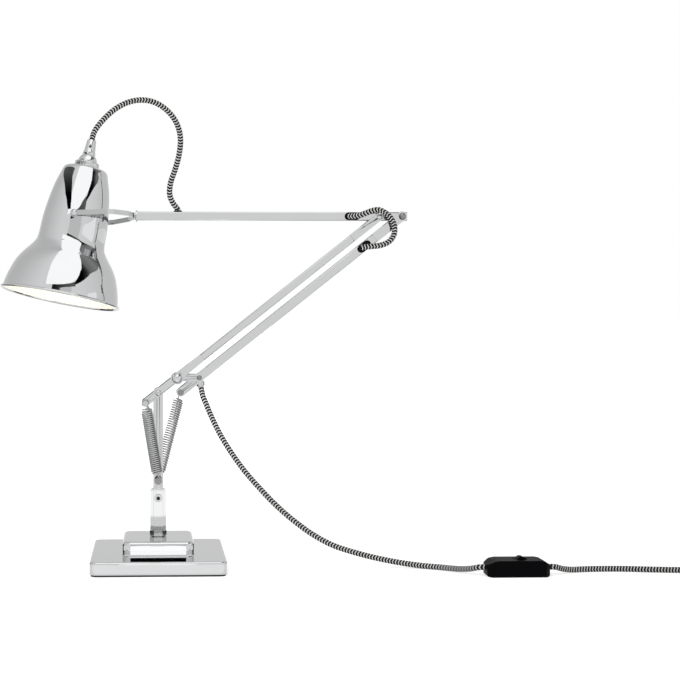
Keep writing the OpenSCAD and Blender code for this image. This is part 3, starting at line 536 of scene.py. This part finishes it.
def in_shade(height=0.0):
    """The place of the shade's axis, at a height above its rim."""
    return (Matrix.Translation(SHADE_PIVOT) @ Matrix.Rotation(ROLL, 4, "X") @ Matrix.Rotation(TILT, 4, "Y")
            @ Matrix.Translation((0, 0, -PIVOT_HEIGHT)) @ Matrix.Translation((0, 0, height)))


# Operators, one for each piece or group of pieces.

class LAMP_OT_stage(Operator):
    """Make the camera, the floor, the studio lights and the cards that the metal reflects"""

    bl_idname = "lamp.stage"
    bl_label = "Studio"

    def execute(self, context):
        scene = context.scene
        scene.view_settings.view_transform = "Standard"
        data = bpy.data.cameras.new("Camera")
        data.sensor_width = SENSOR_WIDTH
        data.lens = LENS
        data.shift_x, data.shift_y = CAMERA_SHIFT
        data.clip_start, data.clip_end = 0.05, 60
        camera = bpy.data.objects.new("Camera", data)
        camera.location = CAMERA_PLACE
        camera.rotation_euler = (math.radians(90), 0, CAMERA_YAW)
        scene.collection.objects.link(camera)
        scene.camera = camera
        self.world(scene)
        self.floor(scene)
        self.lights(scene)
        self.cards(scene)
        return {"FINISHED"}

    def world(self, scene):
        """White for the camera, a tone by azimuth for mirrored rays, and dimmer for the rest."""
        world = scene.world or bpy.data.worlds.new("Studio")
        scene.world = world
        world.use_nodes = True
        tree = world.node_tree
        background = tree.nodes["Background"]
        background.inputs[0].default_value = (1, 1, 1, 1)
        rays = add_node(tree, "ShaderNodeLightPath")
        way = add_node(tree, "ShaderNodeSeparateXYZ", {
            "Vector": add_node(tree, "ShaderNodeTexCoord").outputs["Generated"]}).outputs
        turn = math_node(tree, "ARCTAN2", way[0], math_node(tree, "MULTIPLY", way[1], -1.0))
        ramp = add_node(tree, "ShaderNodeValToRGB", {
            "Fac": math_node(tree, "MULTIPLY_ADD", turn, 0.5 / math.pi, 0.5)})
        stops = (
            (-180, 0.75), (-130, 0.69), (-103, 0.75), (-73, 0.87), (-40, 1.0),
            (45, 1.0), (75, 0.93), (100, 0.84), (130, 0.8), (180, 0.75),
        )
        marks = ramp.color_ramp.elements
        while len(marks) < len(stops):
            marks.new(0.5)
        for mark, (azimuth, tone) in zip(marks, stops):
            mark.position = azimuth / 360 + 0.5
            mark.color = (tone, tone, tone, 1)
        soft_light = 0.62
        mirrored = spread(tree, rays.outputs["Is Glossy Ray"], soft_light, ramp.outputs[0])
        clear = math_node(tree, "MAXIMUM", rays.outputs["Is Camera Ray"],
                          rays.outputs["Is Transmission Ray"])
        tree.links.new(math_node(tree, "MAXIMUM", mirrored, clear), background.inputs[1])

    def floor(self, scene):
        """A white floor that takes soft shadows near the lamp and glows further away."""
        half = 14
        corners = [(-half, -half, 0), (half, -half, 0), (half, half, 0), (-half, half, 0)]
        mesh = bpy.data.meshes.new("Floor")
        mesh.from_pydata(corners, [], [(0, 1, 2, 3)])
        material, tree, shader = fresh_material("White Floor")
        shader.inputs["Roughness"].default_value = 0.9
        shader.inputs["Specular IOR Level"].default_value = 0
        tone = object_noise(tree, 3, 2)
        tree.links.new(two_tone(tree, tone, (0.86, 0.86, 0.86, 1), (0.88, 0.88, 0.88, 1)),
                       shader.inputs["Base Color"])
        glow = add_node(tree, "ShaderNodeEmission", {"Color": (1, 1, 1, 1), "Strength": 1.4})
        plain = add_node(tree, "ShaderNodeEmission", {"Color": (1, 1, 1, 1), "Strength": 1.0})
        rays = add_node(tree, "ShaderNodeLightPath")
        place = add_node(tree, "ShaderNodeTexCoord").outputs["Object"]
        away = add_node(tree, "ShaderNodeVectorMath", {0: place, 1: (0.2, 0, 0)}, operation="DISTANCE")
        share = add_node(tree, "ShaderNodeMapRange", {
            "Value": away.outputs["Value"],
            "From Min": 0.5, "From Max": 1.1, "To Min": 0.42, "To Max": 1}).outputs[0]
        mix = add_node(tree, "ShaderNodeMixShader", {
            0: math_node(tree, "MULTIPLY", rays.outputs["Is Camera Ray"], share),
            1: shader.outputs[0], 2: glow.outputs[0]})
        seen_in_metal = math_node(tree, "MAXIMUM", rays.outputs["Is Glossy Ray"],
                                  rays.outputs["Is Transmission Ray"])
        both = add_node(tree, "ShaderNodeMixShader", {
            0: seen_in_metal, 1: mix.outputs[0], 2: plain.outputs[0]})
        tree.links.new(both.outputs[0], tree.nodes["Material Output"].inputs["Surface"])
        mesh.materials.append(material)
        floor = bpy.data.objects.new("Floor", mesh)
        scene.collection.objects.link(floor)

    def lights(self, scene):
        for name, place, target, width, height, watts in (
            ("Key Light", (-1.1, -1.5, 2.2), (0.1, 0, 0.25), 1.6, 1.6, 26),
            ("Fill Light", (1.9, -1.3, 1.7), (0.15, 0, 0.2), 1.6, 1.6, 12),
            ("Top Light", (0.2, 0.6, 2.6), (0.15, 0, 0.1), 2.4, 1.6, 16),
            ("Bounce Light", (-0.13, -0.3, 0.03), (-0.11, 0, 0.34), 0.4, 0.4, 2.2),
        ):
            data = bpy.data.lights.new(name, "AREA")
            data.shape = "RECTANGLE"
            data.size, data.size_y = width, height
            data.energy = watts
            lamp = bpy.data.objects.new(name, data)
            lamp.location = place
            lamp.rotation_euler = (Vector(target) - Vector(place)).to_track_quat("-Z", "Y").to_euler()
            lamp.visible_camera = False
            lamp.visible_glossy = False
            scene.collection.objects.link(lamp)

    def cards(self, scene):
        """Cards that only reflections see. A ribbon's rows: tone, azimuth and elevation of both edges."""
        shade = Vector((-0.09, 0, 0.40))
        foot = Vector((0, -0.02, 0.02))
        for name, centre, distance, ribbon in (
            ("Bright Card", shade, 1.30, (
                (1.55, (-26, 27), (28, 27)), (1.55, (-26, 30), (41, 30)), (1.55, (-27, 38), (54, 38)),
                (1.55, (-28, 50), (72, 50)), (1.55, (-29, 60), (92, 60)), (1.55, (-31, 70), (100, 70)),
                (1.55, (-36, 80), (105, 80)), (1.55, (-60, 89.5), (115, 89.5)))),
            ("Dark Strip", shade, 1.28, ((0.0, (-12, 21.5), (-12, 27)), (0.16, (36, 21.5), (36, 27)))),
            ("Dark Card", shade, 1.26, (
                (0.0, (34, 24), (34, 26)), (0.0, (41, 24), (41, 30)), (0.0, (54, 25.5), (54, 38)),
                (0.03, (64, 27), (64, 48)), (0.2, (76, 27.5), (76, 56)), (0.25, (88, 28), (88, 62)),
                (0.3, (100, 29), (100, 60)), (0.2, (112, 31), (112, 47)), (0.1, (118, 32), (118, 37)))),
            ("Grey Card", shade, 1.24, ((0.78, (-12, 8), (27, 8)), (0.78, (-12, 21.4), (27, 21.4)))),
            ("Pale Card", shade, 1.24, ((1.22, (36, -2), (80, -2)), (1.22, (36, 8), (80, 8)))),
            ("Dark Side Left", foot, 1.2, ((0.02, (-142, 0), (-98, 0)), (0.02, (-142, 10), (-98, 10)))),
            ("Dark Side Right", foot, 1.2, ((0.02, (98, 0), (142, 0)), (0.02, (98, 10), (142, 10)))),
        ):
            self.card(scene, name, self.ribbon_rows(centre, distance, ribbon))

        # A small flag beside the shade's shoulder, only for reflections closer than its reach.
        flag = (
            (0.16, ((-155, 45, 485), (-137, -45, 511))), (0.09, ((-165, 15, 489), (-138, -49, 504))),
            (0.03, ((-166, -33, 482), (-133, -70, 487))), (0.0, ((-158, -63, 468), (-128, -86, 469))),
            (0.0, ((-147, -79, 459), (-123, -93, 459))), (0.0, ((-133, -95, 444), (-118, -101, 443))),
        )
        rows = [(tone, [Vector(point) * MM for point in row]) for tone, row in flag]
        self.card(scene, "Near Flag", rows, (0, 0.1))

        # Cards that lie on the floor in front of the base: tone, half width, near and far edge, height.
        for name, tone, half, near, far, z in (
            ("Floor Card Plates", 1.5, 0.045, -0.62, -0.346, 0.002),
            ("Floor Card Step", 1.65, 0.046, -0.345, -0.15, 0.002),
            ("Floor Card Block", 0.98, 0.02, -0.34, -0.265, 0.004),
            ("Floor Card Collar", 0.45, 0.012, -0.262, -0.2, 0.004),
            ("Floor Card Front", 1.2, 0.12, -0.149, -0.082, 0.002),
        ):
            rows = [(tone, [Vector((x, y, z)) for x in (-half, half)]) for y in (near, far)]
            self.card(scene, name, rows)

        # Two upright cards that only the front of the base's upper step is near enough to mirror.
        half, low, high = 0.06, 0.04, 0.085
        for name, tone, y, reach in (
            ("Step Glow", 2.1, -0.30, (0, 0.262)),
            ("Step Dark", 0.0, -0.301, (0.262, 0.27)),
        ):
            rows = [(tone, [Vector((x, y, z)) for x in (-half, half)]) for z in (low, high)]
            self.card(scene, name, rows, reach)

        near, far, tone, z = 0.13, 1.2, 0.02, 0.002
        for name, side in (("Dark Floor Left", -1), ("Dark Floor Right", 1)):
            rows = [(tone, [Vector((0, 0, z)) + r * self.towards(side * a, 0) for r in (near, far)])
                    for a in (98, 113, 128, 142)]
            self.card(scene, name, rows)

    def ribbon_rows(self, centre, distance, ribbon, between=4, across=12):
        """Rows of points of a ribbon on a ball round its centre, with rows added between those named."""
        rows = []
        for (t0, a0, b0), (t1, a1, b1) in zip(ribbon, ribbon[1:]):
            last = (t1, a1, b1) == ribbon[-1]
            for k in range(between + 1 if last else between):
                f = k / between
                left, right = Vector(a0).lerp(Vector(a1), f), Vector(b0).lerp(Vector(b1), f)
                row = [centre + distance * self.towards(*left.lerp(right, c / across))
                       for c in range(across + 1)]
                rows.append((t0 + (t1 - t0) * f, row))
        return rows

    def towards(self, azimuth, elevation):
        """The direction at an azimuth, 0 to the front and 90 to the right, and an elevation, in degrees."""
        a, e = math.radians(azimuth), math.radians(elevation)
        return Vector((math.sin(a) * math.cos(e), -math.cos(a) * math.cos(e), math.sin(e)))

    def card(self, scene, name, rows, reach=(0, 9)):
        """A card through rows of points, each row with the tone that reflections within its reach see."""
        width = len(rows[0][1])
        points = [point for _, row in rows for point in row]
        faces = [(a, a + 1, a + width + 1, a + width) for j in range(len(rows) - 1)
                 for a in range(j * width, (j + 1) * width - 1)]
        mesh = bpy.data.meshes.new(name)
        mesh.from_pydata(points, [], faces)
        tones = mesh.color_attributes.new("Tone", "FLOAT_COLOR", "POINT")
        for i, (tone, row) in enumerate(rows):
            for c in range(width):
                tones.data[i * width + c].color = (tone, tone, tone, 1)
        material = bpy.data.materials.new(name)
        material.use_nodes = True
        tree = material.node_tree
        tree.nodes.remove(tree.nodes["Principled BSDF"])
        tone = add_node(tree, "ShaderNodeAttribute", attribute_name="Tone").outputs["Fac"]
        glow = add_node(tree, "ShaderNodeEmission", {"Color": (1, 1, 1, 1), "Strength": tone})
        clear = add_node(tree, "ShaderNodeBsdfTransparent")
        length = add_node(tree, "ShaderNodeLightPath").outputs["Ray Length"]
        gone = math_node(tree, "MAXIMUM", math_node(tree, "GREATER_THAN", length, reach[1]),
                         math_node(tree, "LESS_THAN", length, reach[0]))
        mix = add_node(tree, "ShaderNodeMixShader", {0: gone, 1: glow.outputs[0], 2: clear.outputs[0]})
        tree.links.new(mix.outputs[0], tree.nodes["Material Output"].inputs["Surface"])
        mesh.materials.append(material)
        card = bpy.data.objects.new(name, mesh)
        for ray in ("camera", "diffuse", "transmission", "volume_scatter", "shadow"):
            setattr(card, "visible_" + ray, False)
        scene.collection.objects.link(card)


class LAMP_OT_cords(Operator):
    """Make the woven cords: the elbow and shade loops, the mains cord, its coil and the plug's tail"""

    bl_idname = "lamp.cords"
    bl_label = "Woven Cords"

    def execute(self, context):
        self.elbow_loop()
        self.painted_shade_in_grommet()
        self.shade_loop()
        self.coil_and_lead(self.mains_cord())
        return {"FINISHED"}

    def elbow_loop(self):
        line = smooth_line(ELBOW_ROUTE, CORD_STEP)
        cord = woven_cord("elbow_loop", line)
        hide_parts("elbow_cord")
        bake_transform(cord)

    def painted_shade_in_grommet(self):
        """A dark rubber plate in the hole of the rear tube's oval grommet: painted shade for the dark hole.
        """
        along, half_length, radius, steps = 240.5, 3.75, 3.4, 16
        front, back = -4.9, -4.4
        around = 2 * steps
        points = []
        for y in (front, back):
            for k in range(around):
                far = k >= steps
                a = math.radians(90 + 180 * (k % steps) / (steps - 1)) + (math.pi if far else 0)
                shift = half_length if far else -half_length
                points.append((shift + radius * math.cos(a), y, radius * math.sin(a)))
        faces = [(k, (k + 1) % around, around + (k + 1) % around, around + k) for k in range(around)]
        faces += [tuple(range(around)), tuple(range(2 * around - 1, around - 1, -1))]
        place = Matrix.Translation(LINK_2 + along * ALONG) @ Matrix.Rotation(-ARM_ANGLE, 4, "Y")
        place_on(mesh_piece("painted_shade_in_grommet", points, faces, ["Rubber"], place), "rear_arm", "rubber")

    def shade_loop(self):
        near, far = cut_line(smooth_line(SHADE_ROUTE, CORD_STEP), [SHADE_CORD_CUT])
        near_cord = woven_cord("shade_loop_low", near)
        far_cord = woven_cord("shade_loop_high", far, path_length(near))
        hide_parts("shade_cord")
        for cord, line, bodies in (
            (near_cord, near, ("forearm", "yoke")),
            (far_cord, far, ("yoke", "shade")),
        ):
            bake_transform(cord)

    def mains_cord(self):
        """The cord to the switch, in pieces; the last piece rides on the base. Its start is
        held back, to stay clear of the rear spring.
        """
        parts = cut_line(smooth_line(POWER_ROUTE, CORD_STEP), MAINS_CORD_CUTS)
        pairs = (("link", "lower_arm"), ("lower_arm", "column"), ("column", "base"), None)
        at = 0.0
        for i, (line, pair) in enumerate(zip(parts, pairs)):
            cord = woven_cord("mains_cord_%d" % (i + 1), line, at)
            at += path_length(line)
            if i == 0:
                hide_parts("power_cord")
            if pair:
                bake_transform(cord)
            else:
                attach(cord, "base")
        return at

    def coil_and_lead(self, at):
        coil = evenly(coil_line() + smooth_line(PLUG_ROUTE, CORD_STEP)[1:], COIL_STEP)
        for name, node, line, end, lay, others in (
            ("lead", "lead_cord", smooth_line(LEAD_ROUTE, CORD_STEP), "object", "loose", []),
            ("coil", "cord_coil", coil, "plug", "coiled", ["plug_body", "plug_pins"]),
        ):
            cord = woven_cord(name, line, at)
            at += path_length(line)
            place_on(cord, "base", "cord_fabric", node)
        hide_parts("plug_cord")


class LAMP_OT_springs(Operator):
    """Make the three tension springs with their hooks"""

    bl_idname = "lamp.springs"
    bl_label = "Springs"

    def execute(self, context):
        s = context.scene.lamp_sizes
        self.wire = s.spring_wire / MM
        self.curls = s.spring_curls
        radius = (s.spring_diameter - s.spring_wire) / MM / 2
        wide = radius * FRONT_SPRING_WIDER
        for name, node, side in (
            ("front_spring_1", "front_spring_near", -1),
            ("front_spring_2", "front_spring_far", 1),
        ):
            self.spring(name, node, "front_springs", "column", ANCHOR, SPRING_1, side * FRONT_SPRING_OUT,
                        wide, "shoulder", keep=0.91, tail_inside=12)
        self.spring("back_spring", "rear_spring", "rear_spring", "spring_bush", SPRING_2, ANCHOR, 0,
                    radius, "elbow", keep=0.725, tail_inside=24)
        return {"FINISHED"}

    def spring(self, name, node, body, hook_body, start, end, y, radius, joint, keep, tail_inside):
        """The wound part ends in the hook at end; the hook at start has a tail inside the coil."""
        span = end - start
        length = span.length
        place = (Matrix.Translation(start + Vector((0, y, 0)))
                 @ Matrix.Rotation(math.atan2(span.x, span.z), 4, "Y"))
        hook = HOOK_BORE + self.wire / 2 + SEAT_PLAY
        coil = length - 2 * SPRING_TAIL
        wound = []
        count = self.curls * CURL_STEPS
        for i in range(count + 1):
            a = 2 * math.pi * i / CURL_STEPS
            near_end = min(i, count - i) / CURL_STEPS
            r = radius * (0.5 + 0.5 * min(1, near_end / 0.8))
            wound.append(Vector((r * math.cos(a), r * math.sin(a), SPRING_TAIL + coil * i / count)))
        step = 1.6
        wound += [Vector((radius * 0.22, 0.4, length - SPRING_TAIL + step)),
                  Vector((0.9, 0, length - hook - step))] + self.hook_line(length, hook, -1)
        wound_piece = self.wire_piece(name, wound, 0.9, place)
        place_on(wound_piece, body, "chrome", node)
        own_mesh(wound_piece)

        lone = list(reversed(self.hook_line(0, hook, 1)))
        lone += [Vector((0.9, 0, hook + step)), Vector((0.4, 0, SPRING_TAIL)),
                 Vector((0, 0, SPRING_TAIL + tail_inside))]
        place_on(self.wire_piece(name + "_hook", lone, 0.8, place), hook_body, "chrome")

    def wire_piece(self, name, line, step, place):
        points, faces, _ = tube(evenly(self.soft(line), step), self.wire / 2, WIRE_SIDES)
        return mesh_piece(name, points, faces, ["Spring Steel"], place, sharp=60)

    def hook_line(self, at, hook, end, steps=24):
        """A hook's round, which leaves a gap beside the wire that leads to it."""
        turns = [math.radians(15 + 300 * i / steps) for i in range(steps + 1)]
        return [Vector((hook * math.sin(a), 0, at + hook * math.cos(a) * end)) for a in turns]

    def soft(self, line):
        """The line with its corners eased, twice over."""
        for _ in range(2):
            eased = [(a + 2 * b + c) / 4 for a, b, c in zip(line, line[1:], line[2:])]
            line = [line[0]] + eased + [line[-1]]
        return line


class LAMP_OT_shade(Operator):
    """Make the spun shade with its rolled rim and enamelled inside, its ring and its domed cap"""

    bl_idname = "lamp.shade"
    bl_label = "Shade"

    def execute(self, context):
        s = context.scene.lamp_sizes
        self.shell(s.shade_wall / MM)
        self.ring(s.knurl_depth / MM)
        self.cap()
        return {"FINISHED"}

    def shell(self, wall):
        hole, flat, steps = 10.4, 13, 160
        outer = [(p.x, p.z) for p in smooth_line([(r, 0, z) for r, z in SHADE_CURVE], 1.6)]
        outer += [(flat, SHADE_TOP), (hole, SHADE_TOP)]
        inner = []
        for i, (r, z) in enumerate(outer):
            a, b = outer[max(0, i - 1)], outer[min(len(outer) - 1, i + 1)]
            d = Vector((b[0] - a[0], b[1] - a[1])).normalized()
            inner.append((r - wall * d.y, z + wall * d.x))
        inner[-1], inner[-2] = (hole, SHADE_TOP - wall), (flat, SHADE_TOP - wall)
        inner[-3] = (inner[-3][0], min(inner[-3][1], SHADE_TOP - wall))
        bead = [(66.9 + 1.55 * math.cos(math.radians(a)), 1.55 + 1.45 * math.sin(math.radians(a)))
                for a in range(200, 461, 20)]
        profile = bead + [(66.25, 2.95)] + outer + list(reversed(inner)) + [(64.9, 2.2)]
        points, faces = turned(profile, steps)
        n = len(profile)
        first_inner = len(bead) + 1 + len(outer)
        finish = [1 if first_inner <= i < n - 1 else 0 for _ in range(steps) for i in range(n)]
        shell = mesh_piece("shade_spun", points, faces, ["Chrome", "Enamel"], in_shade(),
                           face_finish=finish)
        place_on(shell, "shade", "chrome", "shade_shell")

    def ring(self, depth, knurls=40):
        section = [(10.0, 0), (12.9, 0), (13.6, 0.3), (13.9, 0.9), (14.0, 1.4), (14.0, 5.2), (13.9, 5.8),
                   (13.5, 6.5), (12.8, 7.0), (10.0, 7.0)]
        points, faces = turned(section, 240, knurl(depth, knurls, 4, 5))
        ring = mesh_piece("ring_knurled", points, faces, ["Chrome"], in_shade(SHADE_TOP + 0.05))
        place_on(ring, "shade", "chrome", "shade_ring")

    def cap(self):
        radius, hole = 10.8, 4.3
        dome = [(radius * math.cos(math.radians(a)), radius * math.sin(math.radians(a)))
                for a in range(0, 47, 3)]
        points, faces = turned([(hole, 0)] + dome + [(hole, 7.8)], 96)
        cap = mesh_piece("cap_domed", points, faces, ["Chrome"], in_shade(SHADE_TOP + 7.1))
        place_on(cap, "shade", "chrome", "shade_cap")


class LAMP_OT_base(Operator):
    """Make the pressed cover of the stepped base"""

    bl_idname = "lamp.base"
    bl_label = "Base Cover"

    def execute(self, context):
        self.cover()
        self.foot_collar()
        self.painted_shade_in_socket()
        return {"FINISHED"}

    def cover(self):
        """The pressed sheet, as rows of rounded squares. Rows beside the fillets keep the flats flat."""
        wide, corner, high = 75.0, 8.0, 16.0
        upper, upper_corner, up = 40.0, 9.0, BASE_TOP
        sheet, hole, round_row = 1.2, 7.0, 9.0
        rows = [(wide - sheet, 2.0), (wide, 2.0), (wide, high - 2.9)]
        rows += self.fillet(wide, high, 2.5)
        rows += [(wide - 2.9, high), (upper + 1.8, high), (upper + 1.4, high), (upper + 0.45, high + 0.4),
                 (upper, high + 1.3), (upper, high + 1.7), (upper, up - 4.9)]
        rows += self.fillet(upper, up, 4.5)
        rows += [(upper - 4.9, up), (round_row, up), (hole, up), (hole, up - sheet),
                 (upper - 4.5, up - sheet), (upper - 2.1, up - 2.3), (upper - sheet, up - 4.5),
                 (upper - sheet, high - sheet), (wide - 2.5, high - sheet), (wide - sheet, high - 2.6)]
        points = []
        for half, z in rows:
            if half <= round_row:
                r = half
            elif half > upper + 2:
                r = corner - (wide - half)
            else:
                r = max(upper_corner - (upper - half), 0.4)
            points += self.rounded_square(half, r, z)
        n, around = len(rows), len(points) // len(rows)
        faces = []
        for j in range(n):
            for k in range(around):
                a, b = j * around + k, j * around + (k + 1) % around
                c, d = ((j + 1) % n) * around + (k + 1) % around, ((j + 1) % n) * around + k
                faces.append((a, b, c, d))
        cover = mesh_piece("base_pressed", points, faces, ["Chrome"], sharp=40)
        place_on(cover, "base", "chrome", "base_cover")

    def fillet(self, half, top, r):
        return [(half - r + r * math.cos(math.radians(a)), top - r + r * math.sin(math.radians(a)))
                for a in range(0, 91, 10)]

    def rounded_square(self, half, r, z, quarter=10):
        points = []
        for side in range(4):
            cx = (half - r) * (1 if side in (0, 3) else -1)
            cy = (half - r) * (1 if side in (0, 1) else -1)
            for k in range(quarter + 1):
                a = math.radians(90 * side + 90 * k / quarter)
                points.append((cx + r * math.cos(a), cy + r * math.sin(a), z))
        return points

    def foot_collar(self):
        """The hexagonal collar, with a flat to the front as photographed."""
        bore, corner, height = 6.1, 9.5, 8.2
        section = [(bore, 0), (corner - 0.7, 0), (corner, 0.8), (corner, height - 1.9),
                   (corner - 1.7, height), (bore, height)]
        points, faces = turned(section, 6)
        place = Matrix.Translation((0, 0, BASE_TOP + SEAT_PLAY))
        collar = mesh_piece("collar_hexagonal", points, faces, ["Chrome"], place, sharp=20)
        place_on(collar, "column", "chrome", "hex_collar")

    def painted_shade_in_socket(self):
        """A dark hexagon inside the column's socket screw: painted shade in its recess."""
        radius, height = 2.25, 76.5
        front, back = -11.0, -10.55
        turns = [math.radians(60 * k + 30) for k in range(6)]
        points = [(radius * math.cos(a), y, height + radius * math.sin(a))
                  for y in (front, back) for a in turns]
        faces = [(k, (k + 1) % 6, 6 + (k + 1) % 6, 6 + k) for k in range(6)]
        faces += [(0, 1, 2, 3, 4, 5), (11, 10, 9, 8, 7, 6)]
        place_on(mesh_piece("painted_shade_in_socket", points, faces, ["Rubber"]), "column", "rubber")


class LAMP_OT_knob(Operator):
    """Make the knurled friction knob on the link bolt"""

    bl_idname = "lamp.knob"
    bl_label = "Friction Knob"

    def execute(self, context):
        depth = context.scene.lamp_sizes.knurl_depth / MM
        bore, dome_radius = 3.05, 6
        rim = [(bore, 0), (6.9, 0), (7.35, 0.25), (7.6, 0.7), (7.6, 3.3), (7.35, 3.75), (6.9, 4.0)]
        dome = [(dome_radius * math.cos(math.radians(a)), 2.5 + dome_radius * math.sin(math.radians(a)))
                for a in range(18, 91, 6)]
        section = rim + [(6.1, 4.0)] + dome + [(0, 7.2), (bore, 7.0)]
        points, faces = turned(section, 180, knurl(depth, 30, 3, 4))
        place = (Matrix.Translation(LINK_1 + Vector((0, -FORK_OUT - SEAT_PLAY, 0)))
                 @ Matrix.Rotation(math.pi / 2, 4, "X"))
        knob = mesh_piece("knob_knurled", points, faces, ["Chrome"], place)
        place_on(knob, "knob", "chrome", "friction_knob")
        return {"FINISHED"}


FINISHES = {
    "chrome": "Chrome",
    "chrome_satin": "Satin Chrome",
    "cast_iron": "Cast Iron",
    "bronze": "Bronze",
    "rubber": "Rubber",
    "black_plastic": "Black Plastic",
    "white_plastic": "White Plastic",
    "opal_glass": "Opal Glass",
    "cord_fabric": "Woven Cord",
}
NODE_FINISHES = {
    "lever_bolt": "Bolt Steel",
    "link_screws": "Bolt Steel",
    "rear_bolt": "Bolt Steel",
    "anchor_pin": "Bolt Steel",
    "yoke_screws": "Bolt Steel",
    "cord_bush": "Satin Chrome",
    "grub_screw": "Cast Iron",
}


class LAMP_OT_finishes(Operator):
    """Give each carried-over piece its material and a small radius on its edges"""

    bl_idname = "lamp.finishes"
    bl_label = "Finishes"

    def execute(self, context):
        width = context.scene.lamp_sizes.edge_round
        same_point, sharp_edge = 0.00001, math.radians(35)
        for part in frame["record"]["subparts"]:
            node = frame["nodes"].get(part["node"])
            if node is None:
                raise RuntimeError("the frame has no piece named " + part["node"])
            node.data.materials.clear()
            finish = NODE_FINISHES.get(part["node"], FINISHES[part["material_slot"]])
            node.data.materials.append(finish_of(finish))
            if node.hide_render:
                continue
            weld = node.modifiers.new("Weld", "WELD")
            weld.merge_threshold = same_point
            bevel = node.modifiers.new("Edges", "BEVEL")
            bevel.width = width
            bevel.segments = 2
            bevel.limit_method = "ANGLE"
            bevel.angle_limit = sharp_edge
        return {"FINISHED"}


class LAMP_PT_panel(Panel):
    """Sizes, colours and makers of the desk lamp"""

    bl_label = "Desk Lamp"
    bl_idname = "LAMP_PT_panel"
    bl_space_type = "VIEW_3D"
    bl_region_type = "UI"
    bl_category = "Desk Lamp"

    def draw(self, context):
        layout = self.layout
        for group in (context.scene.lamp_sizes, context.scene.lamp_colours):
            column = layout.column()
            for key in group.bl_rna.properties.keys():
                if key not in ("rna_type", "name"):
                    column.prop(group, key)
        for operator in OPERATORS:
            layout.operator(operator.bl_idname)


OPERATORS = (LAMP_OT_stage, LAMP_OT_cords, LAMP_OT_springs, LAMP_OT_base, LAMP_OT_shade, LAMP_OT_knob,
             LAMP_OT_finishes)
CLASSES = (LampSizes, LampColours, *OPERATORS, LAMP_PT_panel)


def register():
    for cls in CLASSES:
        bpy.utils.register_class(cls)
    bpy.types.Scene.lamp_sizes = PointerProperty(type=LampSizes)
    bpy.types.Scene.lamp_colours = PointerProperty(type=LampColours)


def unregister():
    del bpy.types.Scene.lamp_colours
    del bpy.types.Scene.lamp_sizes
    for cls in reversed(CLASSES):
        bpy.utils.unregister_class(cls)


def main():
    register()
    for operator in OPERATORS:
        getattr(bpy.ops.lamp, operator.bl_idname.split(".")[1])()
    bpy.context.view_layer.update()


if __name__ == "__main__":
    main()
